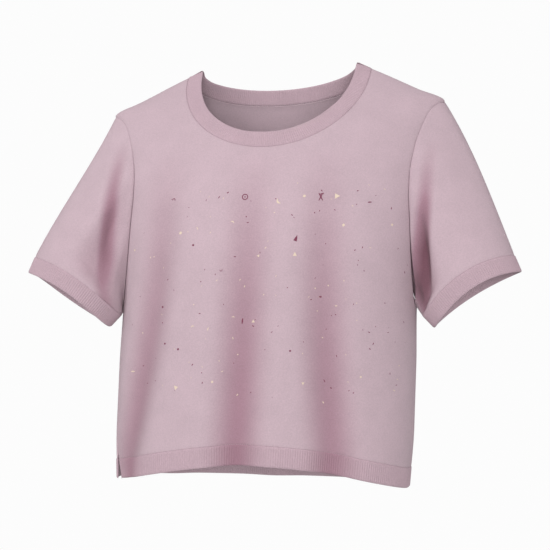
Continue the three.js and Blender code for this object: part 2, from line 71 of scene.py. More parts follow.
def make_camera():
    azimuth, elevation, roll = (
        math.radians(v) for v in (CAMERA_AZIMUTH, CAMERA_ELEVATION, CAMERA_ROLL)
    )
    back = Vector((
        math.sin(azimuth) * math.cos(elevation),
        -math.cos(azimuth) * math.cos(elevation),
        math.sin(elevation),
    ))
    level = Vector((math.cos(azimuth), math.sin(azimuth), 0))
    upright = back.cross(level)
    right = level * math.cos(roll) + upright * math.sin(roll)
    up = back.cross(right)
    data = bpy.data.cameras.new("photo_camera")
    camera = bpy.data.objects.new("photo_camera", data)
    bpy.context.scene.collection.objects.link(camera)
    turn = Matrix((right, up, back)).transposed().to_4x4()
    camera.matrix_world = Matrix.Translation(AIM + back * CAMERA_DISTANCE) @ turn
    pixels = CAMERA_DISTANCE / (MM_PER_PIXEL * MM)
    data.sensor_width = SENSOR
    data.lens = pixels / PHOTO_WIDTH * SENSOR
    data.shift_x = (PHOTO_WIDTH / 2 - AIM_PIXEL[0]) / PHOTO_WIDTH
    data.shift_y = (AIM_PIXEL[1] - PHOTO_WIDTH / 2) / PHOTO_WIDTH
    data.clip_end = 100
    bpy.context.scene.camera = camera
    return camera


camera = make_camera()
print(f"lens {camera.data.lens:.1f} mm")

# %% [markdown]
# ## Light, floor and background
# The garment floats on white paper in soft studio light. A large key stands to the left of the
# camera and above it, a fill beside the camera evens it out, and light from all round does the
# rest, so folds stay soft. Only the camera sees the paper's full white.

# %% Light and floor
KEY_WATTS = 26.0
KEY_PLACE = Vector((-1.7, -2.0, 1.0))
KEY_SIZE = 1.2
FILL_WATTS = 48.0
FILL_PLACE = Vector((0.4, -3.0, -0.5))
FILL_SIZE = 1.2
WORLD_LIGHT = 0.62
WORLD_TINT = (1.0, 0.95, 0.97)
PAPER_WHITE = 0.975
FLOOR_LIGHT = 0.3
FLOOR_HEIGHT = -1.35
FLOOR_HALF = 40.0


def make_world():
    world = bpy.data.worlds.new("studio")
    bpy.context.scene.world = world
    world.use_nodes = True
    nodes, links = world.node_tree.nodes, world.node_tree.links
    background = nodes["Background"]
    seen = nodes.new("ShaderNodeLightPath")
    shade = nodes.new("ShaderNodeMix")
    shade.data_type = "RGBA"
    shade.inputs[6].default_value = (*(c * WORLD_LIGHT for c in WORLD_TINT), 1)
    shade.inputs[7].default_value = (PAPER_WHITE, PAPER_WHITE, PAPER_WHITE, 1)
    links.new(seen.outputs["Is Camera Ray"], shade.inputs[0])
    links.new(shade.outputs[2], background.inputs["Color"])


def soft_light(name, place, watts, size, aim=AIM):
    data = bpy.data.lights.new(name, "AREA")
    data.energy = watts
    data.size = size
    light = bpy.data.objects.new(name, data)
    bpy.context.scene.collection.objects.link(light)
    light.location = place
    light.rotation_euler = (aim - place).to_track_quat("-Z", "Y").to_euler()
    return light


make_world()
soft_light("key", KEY_PLACE, KEY_WATTS, KEY_SIZE)
soft_light("fill", FILL_PLACE, FILL_WATTS, FILL_SIZE)
view = bpy.context.scene.view_settings
view.view_transform = "Standard"
view.look = "None"
view.exposure = 0
print("world light", WORLD_LIGHT, "key watts", KEY_WATTS)

# %% [markdown]
# ## Meshes from rows of points
# Every piece of cloth here is a grid: rows of points on its outer face. One helper turns such a
# grid into a closed shell with an inner face and rims, so that the cloth has its real thickness.
# The pattern's own measure is kept as a UV map in metres. Knit and ribs follow it later.


# %% Shell helpers
SIDE_SIGN = dict(left=1, right=-1)
PANEL_SIGN = dict(front=1, back=-1)


def unit(vectors):
    return vectors / np.linalg.norm(vectors, axis=-1, keepdims=True)


def run_length(points):
    return np.linalg.norm(np.diff(points, axis=0), axis=1).sum()


def closed(run):
    return np.concatenate([run, run[:1]])


def new_piece(name, mesh):
    piece = bpy.data.objects.new(name, mesh)
    bpy.context.scene.collection.objects.link(piece)
    return piece


def face_indices(rows, columns, ring, first):
    last = columns if ring else columns - 1
    i, j = np.meshgrid(np.arange(rows - 1), np.arange(last), indexing="ij")
    k = (j + 1) % columns
    low, high = i * columns, (i + 1) * columns
    return np.stack([low + j, low + k, high + k, high + j], -1).reshape(-1, 4) + first


def rim_faces(a, b):
    """Faces between two runs of vertex numbers."""
    return np.stack([a[1:], a[:-1], b[:-1], b[1:]], -1)


def write_attribute(mesh, name, values):
    attribute = mesh.attributes.new(name, "FLOAT", "POINT")
    attribute.data.foreach_set("value", values)


def closed_mesh(name, outer, inner, faces, pattern, fold, loops=None):
    """A closed mesh from its outer and inner points in mm and its faces.

    Its pattern in metres becomes the UV map, and the shade of its folds an attribute."""
    points = np.concatenate([outer, inner]) * MM
    mesh = bpy.data.meshes.new(name)
    mesh.from_pydata(points.tolist(), [], faces)
    if loops is None:
        corners = np.concatenate([pattern, pattern]) * MM
        order = np.empty(len(mesh.loops), int)
        mesh.loops.foreach_get("vertex_index", order)
        loops = corners[order]
    layer = mesh.uv_layers.new(name="pattern")
    layer.data.foreach_set("uv", loops.ravel())
    # The fold attribute holds the shade painted into the folds, on the outer face only.
    write_attribute(mesh, "fold", np.concatenate([fold, 0 * fold]))
    mesh.shade_smooth()
    mesh.validate()
    return new_piece(name, mesh)


def shell(name, outer, inner, pattern, ring=False, fold=0.0):
    """A closed mesh from grids of outer and inner points, with the pattern as its UV map."""
    rows, columns = outer.shape[:2]
    count = rows * columns
    numbers = np.arange(count).reshape(rows, columns)
    outside = face_indices(rows, columns, ring, 0)
    inside = face_indices(rows, columns, ring, count)[:, ::-1]
    wrap = (lambda run: np.append(run, run[0])) if ring else (lambda run: run)
    rims = [
        rim_faces(wrap(numbers[0]), wrap(numbers[0]) + count),
        rim_faces(wrap(numbers[-1]), wrap(numbers[-1]) + count)[:, ::-1],
    ]
    if not ring:
        rims.append(rim_faces(numbers[:, -1], numbers[:, -1] + count))
        rims.append(rim_faces(numbers[:, 0], numbers[:, 0] + count)[:, ::-1])
    faces = np.concatenate([outside, inside, *rims])
    places = pattern.reshape(-1, 2)
    loops = (np.concatenate([places, places]) * MM)[faces.ravel()]
    if ring:
        loops = join_seam(loops, faces, columns, pattern)
    painted_fold_shades = np.broadcast_to(np.asarray(fold, float), (rows, columns)).ravel()
    flat = (outer.reshape(-1, 3), inner.reshape(-1, 3))
    return closed_mesh(name, *flat, faces.tolist(), places, painted_fold_shades, loops)


def join_seam(loops, faces, columns, pattern):
    """On a ring the last cell's far corners carry the full girth and not zero."""
    girth = (2 * pattern[0, -1, 0] - pattern[0, -2, 0]) * MM
    column = faces % columns
    last = (column == columns - 1).any(axis=1, keepdims=True) & (column == 0)
    loops = loops.reshape(*faces.shape, 2)
    loops[last, 0] = girth
    return loops.reshape(-1, 2)


# %% [markdown]
# ## The form of the body
# A maker would fit cloth on a dress form. The form here is a stack of horizontal sections, each
# a rounded box whose half width and depths come from a short table. The same numbers are in the
# CAD source, in millimetres. A smooth reader gives each value at any height.

# %% Tables of the form
BODY = dict(
    height=[10, -6, -16, -25.5, -35, -52, -75, -111, -150, -200, -240, -290, -360, -430, -510],
    half_width=[76, 111, 131, 149, 167, 199, 195, 189, 183, 178, 175, 173.5, 175, 175, 171.5],
    front=[8, -3, -10, -16, -22, -33, -51, -72, -87, -100, -105, -104, -99, -94, -91],
    ridge=[16, 15, 13.5, 12, 10.5, 8, 6, 4, 2, 0, -1, -2, -2, -2, -2],
    back=[20, 31, 46, 58, 66, 75, 82, 89, 94, 95, 93, 90, 90, 91, 92],
    square=[2.1, 2.1, 2.1, 2.15, 2.15, 2.2, 2.25, 2.3, 2.3, 2.2, 2.15, 2.1, 2.1, 2.1, 2.1],
)
ARMHOLE = dict(
    height=[-52, -57, -68, -84, -110, -146, -170, -195, -225, -255, -274, -284, -288],
    front=[8, -7, -17.5, -27, -39.5, -49, -51, -49, -45, -38, -31, -26, -22],
    back=[8, 29, 40, 46, 52, 56, 53, 47.5, 41, 32, 20, 5, -22],
)
CLOTH_WALL = 1.3
BAND_WALL = 1.6
SEAM_RETREAT = 0.03
SHOULDER_TIP_HEIGHT = -52
UNDERARM_HEIGHT = -288
SIDE_SEAM_FORWARD = 22
LEAN_PER_HEIGHT = 0.036
UPRIGHT_HEIGHT = -265
SHOULDER_TILT = 0.03
TILT_FOOT = -250


def column(table, name):
    """Reads one column of a table at any height, smoothly and without overshoot."""
    heights = np.array(table["height"], float)
    values = np.array(table[name], float)
    step = np.diff(values) / np.diff(heights)
    product = step[:-1] * step[1:]
    total = np.where(product > 0, step[:-1] + step[1:], 1)
    slopes = np.zeros(len(values))
    slopes[1:-1] = np.where(product > 0, 2 * product / total, 0)

    def read(z):
        z = np.asarray(z, float)
        i = np.searchsorted(-heights[1:-1], -z, side="left")
        span = heights[i + 1] - heights[i]
        t = np.clip((z - heights[i]) / span, 0, 1)
        rise = values[i + 1] - values[i]
        start, end = slopes[i] * span, slopes[i + 1] * span
        bend = start + end - 2 * rise
        return values[i] + start * t + (3 * rise - 2 * start - end) * t**2 + bend * t**3

    return read


form = {name: column(BODY, name) for name in BODY if name != "height"}
armhole_depth = {name: column(ARMHOLE, name) for name in ("front", "back")}


def form_point(angle, z):
    """The smooth form. The angle is 0 at the centre front and half a turn at the back."""
    ridge = form["ridge"](z)
    depth = np.where(np.cos(angle) > 0, ridge - form["front"](z), form["back"](z) - ridge)
    power = form["square"](z)
    across = np.abs(np.sin(angle)) / form["half_width"](z)
    along = np.abs(np.cos(angle)) / depth
    reach = (across**power + along**power) ** (-1 / power)
    return np.stack([reach * np.sin(angle), ridge - reach * np.cos(angle), z + 0 * reach], -1)


# %% [markdown]
# ## Measuring round the form
# Cloth is cut flat, so a place on it is given as a distance round the body and a height. A
# table of lengths round the form, one row for each millimetre of height, turns such a distance
# into an angle and back.

# %% Lengths round the form
TOP_HEIGHT, FOOT_HEIGHT = 12, -514
SECTION_STEPS = 120
HALVINGS = 40
angles = np.linspace(0, math.pi, SECTION_STEPS + 1)
section_heights = np.arange(TOP_HEIGHT, FOOT_HEIGHT, -1.0)
sections = form_point(angles[None, :], section_heights[:, None])
steps = np.linalg.norm(np.diff(sections, axis=1), axis=2)
section_lengths = np.concatenate([np.zeros((len(steps), 1)), np.cumsum(steps, axis=1)], axis=1)


def between_sections(z):
    place = np.clip(TOP_HEIGHT - np.asarray(z, float), 0, len(section_heights) - 1.001)
    low = place.astype(int)
    return low, place - low


def angle_at(length, z):
    """The angle at a length round the form from the centre front, at each height."""
    length, z = np.broadcast_arrays(np.asarray(length, float), np.asarray(z, float))
    low, share = between_sections(z)
    angle = np.empty(length.shape)
    for i in np.unique(low):
        pick = low == i
        upper = np.interp(length[pick], section_lengths[i], angles)
        lower = np.interp(length[pick], section_lengths[i + 1], angles)
        angle[pick] = upper + (lower - upper) * share[pick]
    return angle


def length_at(angle, z):
    """The length round the form from the centre front to an angle, at each height."""
    low, share = between_sections(z)
    place = np.clip(angle / math.pi * SECTION_STEPS, 0, SECTION_STEPS - 1e-9)
    j = place.astype(int)
    part = place - j

    def read(i):
        return section_lengths[i, j] * (1 - part) + section_lengths[i, j + 1] * part

    return read(low) * (1 - share) + read(low + 1) * share


def half_girth(z):
    return np.interp(-np.asarray(z, float), -section_heights, section_lengths[:, -1])


def find_angle(reads, target, low, high):
    """The angle at which a value that grows from low to high meets its target."""
    low = low + 0 * target
    high = high + 0 * target
    for _ in range(HALVINGS):
        middle = (low + high) / 2
        below = reads(middle) < target
        low, high = np.where(below, middle, low), np.where(below, high, middle)
    return (low + high) / 2


def from_centre(panel, angle, z):
    """How far an angle is from a panel's own centre, round the body."""
    length = length_at(angle, z)
    return length if panel == "front" else half_girth(z) - length


def across_at_depth(panel, y, z):
    y, z = np.broadcast_arrays(np.asarray(y, float), np.asarray(z, float))
    angle = find_angle(lambda a: form_point(a, z)[..., 1], y, 0.0, math.pi)
    return from_centre(panel, angle, z)


def across_at_width(panel, x, z):
    start = 0.0 if panel == "front" else math.pi
    angle = find_angle(lambda a: form_point(a, z)[..., 0], x, start, math.pi / 2)
    return from_centre(panel, angle, z)


print(f"chest {2 * float(half_girth(-200)):.0f} mm round, hem {2 * float(half_girth(-480)):.0f} mm")

# %% [markdown]
# ## Folds
# Worn cloth hangs in a few long soft folds. A modeller would sculpt them; here each one is a
# trough with its own path and width, pressed into the form along its normal. The list is in the
# pattern's own measure, so a fold can be read off the photograph with a ruler. The front has
# three, and the back has three similar ones of its own.

# %% The folds of the body
SMALL_TURN = 0.01
BODY_FOLDS = [
    dict(panel="front", top=(-116, -110), foot=(-160, -440), half_width=44, depth=9),
    dict(panel="front", top=(-15, -110), foot=(-22, -440), half_width=46, depth=10),
    dict(panel="front", top=(65, -110), foot=(85, -440), half_width=46, depth=9),
    dict(panel="back", top=(-88, -150), foot=(-118, -450), half_width=46, depth=8),
    dict(panel="back", top=(-6, -190), foot=(2, -440), half_width=50, depth=7),
    dict(panel="back", top=(82, -140), foot=(116, -450), half_width=44, depth=8),
]
FOLD_SHARPNESS = 1.5
# Painted shade: cloth in a fold is darkened in its colour by this much for each mm of depth.
BODY_FOLD_SHADE = 0.04


def soft_step(t):
    s = np.clip(t, 0, 1)
    return s * s * (3 - 2 * s)


def soft_bump(t):
    return np.where(np.abs(t) < 1, (1 + np.cos(np.pi * np.clip(t, -1, 1))) / 2, 0)


def fold_depth(panel, across, z):
    depth = np.zeros(np.broadcast(across, z).shape)
    for fold in BODY_FOLDS:
        if fold["panel"] != panel:
            continue
        (top_across, top), (foot_across, foot) = fold["top"], fold["foot"]
        down = np.maximum((top - z) / (top - foot), 0)
        middle = top_across + (foot_across - top_across) * down**2
        bump = soft_bump((across - middle) / fold["half_width"]) ** FOLD_SHARPNESS
        depth += fold["depth"] * np.sin(np.pi / 2 * np.minimum(down, 1)) * bump
    return depth


def hang_askew(points):
    """The top leans towards +X and the shoulder on that side is higher, as it was hung."""
    high = soft_step((points[..., 2] - TILT_FOOT) / (SHOULDER_TIP_HEIGHT - TILT_FOOT))
    x = points[..., 0] + LEAN_PER_HEIGHT * (points[..., 2] - UPRIGHT_HEIGHT)
    z = points[..., 2] + SHOULDER_TILT * x * high
    return np.stack([x, points[..., 1], z], -1)


def cloth_point(panel, across, z):
    """The outer face of a panel, from the pattern's distance across and height."""
    across, z = np.broadcast_arrays(np.asarray(across, float), np.asarray(z, float))
    length = np.abs(across) if panel == "front" else half_girth(z) - np.abs(across)
    angle = angle_at(length, z) * np.where(across < 0, -1, 1)
    point = form_point(angle, z)
    around = form_point(angle + SMALL_TURN, z) - form_point(angle - SMALL_TURN, z)
    up = form_point(angle, z + 1) - form_point(angle, z - 1)
    out = unit(np.cross(around, up))
    return hang_askew(point - out * fold_depth(panel, across, z)[..., None])


# %% [markdown]
# ## The front and back panels
# Each panel is one knitted piece, sewn to the neckband above, the sleeves at its armholes and
# the ribbed hem below. Its outline on the flat pattern is drawn from those seams, as a cutter
# would draw it, and runs once round the panel from its lower corner.

# %% Pattern of a panel
NECK_SEAM_WIDTH = 222
NECK_SEAM_AT = dict(shoulder=-6, front=-111, back=-34.4)
NECK_SHIFT = -4.5
HEM_BAND = 23
HEM_AT_SIDE = -493.5
HEM_RISE = dict(front=27.5, back=-6)
HEM_TILT = 2.3
HEM_CURVE = 1.3
SIDE_ROWS = dict(front=8, back=5)
ARMHOLE_ROWS = 12
SHOULDER_COLUMNS = dict(front=5, back=4)
NECK_COLUMNS = dict(front=32, back=22)
CURVE_STEPS = 160
HEM_STEPS = 170
TOP_STEPS = 210
SIDE_FINE = 10


def along_run(run, shares, points=None):
    """Places at even shares of a run's length. The length may be taken from other points."""
    measured = run if points is None else points
    lengths = np.append(0, np.cumsum(np.linalg.norm(np.diff(measured, axis=0), axis=1)))
    at = shares * lengths[-1]
    return np.stack([np.interp(at, lengths, values) for values in run.T], -1)


def side_seam_across(panel, z):
    return across_at_depth(panel, -SIDE_SEAM_FORWARD, z)


def hem_place(panel, share, up):
    middle = np.maximum(np.cos(math.pi / 2 * share), 0) ** HEM_CURVE
    z = HEM_AT_SIDE + HEM_RISE[panel] * middle - HEM_TILT * share + up
    return np.stack([share * side_seam_across(panel, z), z], -1)


def armhole_run(panel):
    share = (1 - np.cos(np.linspace(0, math.pi, CURVE_STEPS + 1))) / 2
    z = UNDERARM_HEIGHT + (SHOULDER_TIP_HEIGHT - UNDERARM_HEIGHT) * share
    return np.stack([across_at_depth(panel, armhole_depth[panel](z), z), z], -1)


def neck_run(panel):
    turn = np.linspace(-math.pi / 2, math.pi / 2, 2 * CURVE_STEPS + 1)
    shoulder = NECK_SEAM_AT["shoulder"]
    x = NECK_SEAM_WIDTH / 2 * np.sin(turn) + NECK_SHIFT * np.cos(turn)
    z = shoulder + (NECK_SEAM_AT[panel] - shoulder) * np.cos(turn)
    reach = across_at_width(panel, np.abs(x), z)
    for end in (0, -1):
        reach[end] = across_at_depth(panel, form["ridge"](z[end]), z[end])
    return np.stack([np.sign(x) * reach, z], -1)


def neck_places(panel, shares):
    run = neck_run(panel)
    return along_run(run, shares, cloth_point(panel, run[:, 0], run[:, 1]))


def side_places(panel, sign, t):
    """The side seam and the armhole above it, at shares t of the grid's rows."""
    rows = SIDE_ROWS[panel] + ARMHOLE_ROWS
    below = np.clip(t * rows / SIDE_ROWS[panel], 0, 1)
    above = np.clip((t * rows - SIDE_ROWS[panel]) / ARMHOLE_ROWS, 0, 1)
    foot = hem_place(panel, np.array([float(sign)]), HEM_BAND)[0, 1]
    z = foot + (UNDERARM_HEIGHT - foot) * below
    seam = np.stack([side_seam_across(panel, z), z], -1)
    arm = along_run(armhole_run(panel), above)
    places = np.where((above > 0)[:, None], arm, seam)
    return places * np.array([sign, 1])


def top_places(panel, s):
    """The shoulder seams and the neck seam between them, at shares s of the grid's columns."""
    columns = 2 * SHOULDER_COLUMNS[panel] + NECK_COLUMNS[panel]
    at = s * columns
    neck = neck_places(panel, np.clip((at - SHOULDER_COLUMNS[panel]) / NECK_COLUMNS[panel], 0, 1))
    side = np.minimum(at, columns - at) / SHOULDER_COLUMNS[panel]
    z = SHOULDER_TIP_HEIGHT + (NECK_SEAM_AT["shoulder"] - SHOULDER_TIP_HEIGHT) * np.clip(side, 0, 1)
    ridge = across_at_depth(panel, form["ridge"](z), z) * np.where(s < 0.5, -1, 1)
    return np.where((side < 1)[:, None], np.stack([ridge, z], -1), neck)


def panel_outline(panel):
    """A panel's whole edge as one run of places, round from its lower corner on -X."""
    rows = (SIDE_ROWS[panel] + ARMHOLE_ROWS) * SIDE_FINE
    foot = hem_place(panel, np.linspace(-1, 1, HEM_STEPS + 1), HEM_BAND)
    right = side_places(panel, 1, np.linspace(0, 1, rows + 1))
    top = top_places(panel, np.linspace(1, 0, TOP_STEPS + 1))
    left = side_places(panel, -1, np.linspace(1, 0, rows + 1))
    return np.concatenate([foot[:-1], right[:-1], top[:-1], left[:-1]])


def drawn_in(outline, reach):
    """An outline moved inwards, square to itself and at its corners too."""
    step = unit(np.roll(outline, -1, axis=0) - outline)
    inward = np.stack([-step[:, 1], step[:, 0]], -1)
    before = np.roll(inward, 1, axis=0)
    share = reach / (1 + (inward * before).sum(axis=1))
    return outline + (inward + before) * share[:, None]


def edge_distance(places, outline):
    """How far each place is from the nearest point of an outline."""
    tree = KDTree(len(outline))
    for k, place in enumerate(outline):
        tree.insert((*place, 0), k)
    tree.balance()
    return np.array([tree.find((*place, 0))[2] for place in places])


def inside(places, outline):
    """Whether each place is inside an outline, by how often a line to its right crosses it."""
    x, z = places[:, :1], places[:, 1:]
    start, end = outline, np.roll(outline, -1, axis=0)
    rise = np.where(start[:, 1] == end[:, 1], 1, end[:, 1] - start[:, 1])
    cut = start[:, 0] + (end[:, 0] - start[:, 0]) * (z - start[:, 1]) / rise
    crossed = ((start[:, 1] > z) != (end[:, 1] > z)) & (x < cut)
    return crossed.sum(axis=1) % 2 == 1


print("outlines of", 2 * HEM_STEPS, "hem steps")

# %% [markdown]
# Each panel is filled with triangles. Its edge is drawn in from its seams by a fraction of a
# millimetre, so that neighbours never touch, and lines close to the edge let it dip towards the
# wearer, as knitted cloth does where it is linked to the next piece. A plain lattice of points
# fills the rest, and the cloth's own form gives every point its place and its way out.

# %% Panel shells
EDGE_LINES = [0.8, 1.8, 3.2]
SEAM_DIP = 0.3
SEAM_DIP_WIDTH = 1.6
LATTICE = 2.3
LATTICE_MARGIN = 4.4
CLOTH_PLACES = {}


def panel_triangles(panel):
    """The places and the triangles of a panel on its flat pattern."""
    outline = panel_outline(panel)
    low, high = outline.min(axis=0), outline.max(axis=0)
    lattice = np.stack(np.meshgrid(*(np.arange(a, b, LATTICE) for a, b in zip(low, high))), -1)
    lattice = lattice.reshape(-1, 2)
    lattice = lattice[inside(lattice, outline)]
    lattice = lattice[edge_distance(lattice, outline) > LATTICE_MARGIN]
    loops = [drawn_in(outline, line) for line in (SEAM_RETREAT, *EDGE_LINES)]
    points = [Vector(place) for place in np.concatenate([*loops, lattice]).tolist()]
    edge = [(k, (k + 1) % len(outline)) for k in range(len(outline))]
    found = delaunay_2d_cdt(points, edge, [], 1, 1e-4, False)
    places, faces = np.array([tuple(place) for place in found[0]]), np.array(found[2])
    on_edge = edge_distance(places, loops[0]) < SEAM_RETREAT / 2
    between = np.flatnonzero(on_edge[faces].all(axis=1))
    outside = between[~inside(places[faces[between]].mean(axis=1), loops[0])]
    return outline, places, np.delete(faces, outside, axis=0)


def cloth_normal(panel, across, z):
    """The way out of a panel's cloth."""
    around = cloth_point(panel, across + 1, z) - cloth_point(panel, across - 1, z)
    up = cloth_point(panel, across, z + 1) - cloth_point(panel, across, z - 1)
    return unit(np.cross(around, up)) * PANEL_SIGN[panel]


def panel_shell(panel):
    outline, places, faces = panel_triangles(panel)
    across, z = places.T
    normals = cloth_normal(panel, across, z)
    dip = SEAM_DIP * np.exp(-((edge_distance(places, outline) / SEAM_DIP_WIDTH) ** 2))
    outer = cloth_point(panel, across, z) - normals * dip[:, None]
    inner = outer - normals * CLOTH_WALL
    if panel == "back":
        faces = faces[:, ::-1]
    ways = faces[:, [0, 1, 1, 2, 2, 0]].reshape(-1, 2)
    keys = ways[:, 0] * len(places) + ways[:, 1]
    rim = ways[~np.isin(keys, ways[:, 1] * len(places) + ways[:, 0])]
    count = len(places)
    rims = np.stack([rim[:, 1], rim[:, 0], rim[:, 0] + count, rim[:, 1] + count], -1)
    shapes = [*faces.tolist(), *(faces[:, ::-1] + count).tolist(), *rims.tolist()]
    # Painted shade, darker where the folds are deeper.
    painted_fold_shades = fold_depth(panel, across, z) * BODY_FOLD_SHADE
    CLOTH_PLACES[panel] = (places, outer)
    return closed_mesh(f"knit_{panel}", outer, inner, shapes, places, painted_fold_shades)


front = panel_shell("front")
back = panel_shell("back")
for piece in (front, back):
    print(piece.name, len(piece.data.polygons), "faces")

# %% [markdown]
# ## Sleeves
# A short sleeve sets out from the armhole and runs into its cuff. Each lengthwise line is a
# smooth curve that leaves the armhole and meets the cuff in given directions. Beside the armhole
# the arm's fall presses a crease into the front, and shade is painted into its colour, darker as
# it deepens, as it is in the sleeve's folds. Both sleeves are drawn on the wearer's left, and the
# right one is mirrored.

# %% Cuff and sleeve form
CUFF_BAND = 20
CUFF_RIM = dict(left=(240, -28, -282.2), right=(235.2, -28, -282.4))
CUFF_HALF_LENGTH = dict(rim=58.3, seam=62)
CUFF_HALF_DEPTH = 42
CUFF_TURN = math.radians(57)
CUFF_OUTER_BEND = dict(left=0.22, right=0.12)
CUFF_ARCH = dict(left=dict(front=15, back=5), right=dict(front=10, back=-6))
CUFF_SEAM_CLEARANCE = 0.05
ARMHOLE_CLEARANCE = 0.06
SLEEVE_FLOW = dict(outward=0.62, down=0.66, forward=0.45, underarm_less=0.2)
SLEEVE_TOP_LESS = dict(left=0.22, right=0.29)
SLEEVE_FOLD_FADE = dict(armhole=0.3, cuff=0.2)
SLEEVE_FOLDS = dict(
    left=[
        dict(start=0.17, end=0.1, half_width=0.09, depth=8),
        dict(start=0.84, end=0.88, half_width=0.09, depth=6),
    ],
    right=[
        dict(start=0.24, end=0.2, half_width=0.1, depth=8),
        dict(start=0.78, end=0.84, half_width=0.1, depth=6),
    ],
)
SLEEVE_COLUMNS = 168
SLEEVE_ROWS = 72
SLEEVE_LENGTH = 180
# How much painted shade goes into the colour of the sleeve's folds and of the crease.
SLEEVE_FOLD_SHADE = 0.02
CREASE_SHADE = 1.0
SLEEVE_CREASE = dict(
    left=dict(
        path=[(191, -98), (184, -127), (180, -159), (176, -194), (173, -229), (171, -290)],
        strength=[0.0, 0.12, 0.3, 0.65, 1.0, 1.0],
        half_width=13,
        depth=6,
    ),
    right=dict(
        path=[(172.5, -97), (176, -130), (179, -172), (180, -205), (181, -238), (184, -269)],
        strength=[0.0, 0.25, 0.45, 0.52, 0.52, 0.3],
        half_width=14,
        depth=5,
    ),
)
cuff_along = np.array([math.cos(CUFF_TURN), 0, -math.sin(CUFF_TURN)])
cuff_out = np.array([math.sin(CUFF_TURN), 0, math.cos(CUFF_TURN)])
cuff_forward = np.array([0.0, -1.0, 0.0])


EDGE_LINES_CLEAR = 1.4


def close_to_edges(count, edge_lines, size):
    """Shares from 0 to 1, even in the middle, with extra lines at set distances from the ends."""
    even = np.linspace(0, 1, count + 1)
    near = np.array(edge_lines) / size
    clear = near.max() * EDGE_LINES_CLEAR
    inner = even[(even > clear) & (even < 1 - clear)]
    return np.concatenate([[0], near, inner, 1 - near[::-1], [1]])


def cuff_point(side, turn, back):
    """A point of the cuff, a given way back from its rim. The turn is 0 on the outer side."""
    turn = np.asarray(turn, float)[..., None]
    arch = np.where(np.sin(turn) > 0, CUFF_ARCH[side]["front"], CUFF_ARCH[side]["back"])
    share = back / CUFF_BAND
    half = CUFF_HALF_LENGTH["rim"] * (1 - share) + CUFF_HALF_LENGTH["seam"] * share
    return (
        np.array(CUFF_RIM[side], float)
        - cuff_along * (back + arch * np.sin(turn) ** 2)
        + cuff_out * half * np.cos(turn)
        + cuff_forward * CUFF_HALF_DEPTH * np.sin(turn)
    )


def cuff_normal(side, turn):
    around = cuff_point(side, turn - SMALL_TURN, 0) - cuff_point(side, turn + SMALL_TURN, 0)
    up = cuff_point(side, turn, CUFF_BAND) - cuff_point(side, turn, 0)
    return unit(np.cross(around, up))


def armhole_loop(side, columns):
    """Points round the armhole, up the front from the underarm and down the back."""
    sign = SIDE_SIGN[side]
    half = np.linspace(0, 1, columns // 2 + 1)
    runs = []
    for panel in ("front", "back"):
        places = along_run(armhole_run(panel), half)
        runs.append(cloth_point(panel, sign * places[:, 0], places[:, 1]))
    loop = np.concatenate([runs[0], runs[1][::-1][1:-1]])
    return loop * np.array([sign, 1, 1]) + np.array([ARMHOLE_CLEARANCE, 0, 0])


def sleeve_start(side, loop, reach):
    middle = (SHOULDER_TIP_HEIGHT + UNDERARM_HEIGHT) / 2
    radial = unit(np.stack([0 * loop[:, 0], loop[:, 1], loop[:, 2] - middle], -1))
    less = SLEEVE_FLOW["underarm_less"] * soft_step(-radial[:, 2])
    less = less + SLEEVE_TOP_LESS[side] * soft_step(radial[:, 2])
    outward = SLEEVE_FLOW["outward"] - less
    down = 0 * outward - SLEEVE_FLOW["down"]
    way = np.stack([outward, SLEEVE_FLOW["forward"] * radial[:, 1], down], -1)
    return unit(way) * reach


def sleeve_fold_depth(side, around, along):
    fade = soft_step(along / SLEEVE_FOLD_FADE["armhole"])
    fade = fade * soft_step((1 - along) / SLEEVE_FOLD_FADE["cuff"])
    depth = 0 * fade * around
    for fold in SLEEVE_FOLDS[side]:
        middle = fold["start"] + (fold["end"] - fold["start"]) * along
        depth = depth + fold["depth"] * fade * soft_bump((around - middle) / fold["half_width"])
    return depth


def sleeve_crease(side, points, around):
    """How strong the crease beside the armhole is, from 0 to 1. It is only on the front."""
    crease = SLEEVE_CREASE[side]
    x, z = np.array(crease["path"], float).T
    middle = np.interp(-points[..., 2], -z, x)
    strength = np.interp(-points[..., 2], -z, crease["strength"])
    bump = soft_bump((points[..., 0] - middle) / crease["half_width"])
    return strength * bump * soft_step(3 * np.sin(2 * math.pi * around))[None, :]


def on_side(side, points):
    return points * np.array([SIDE_SIGN[side], 1, 1])


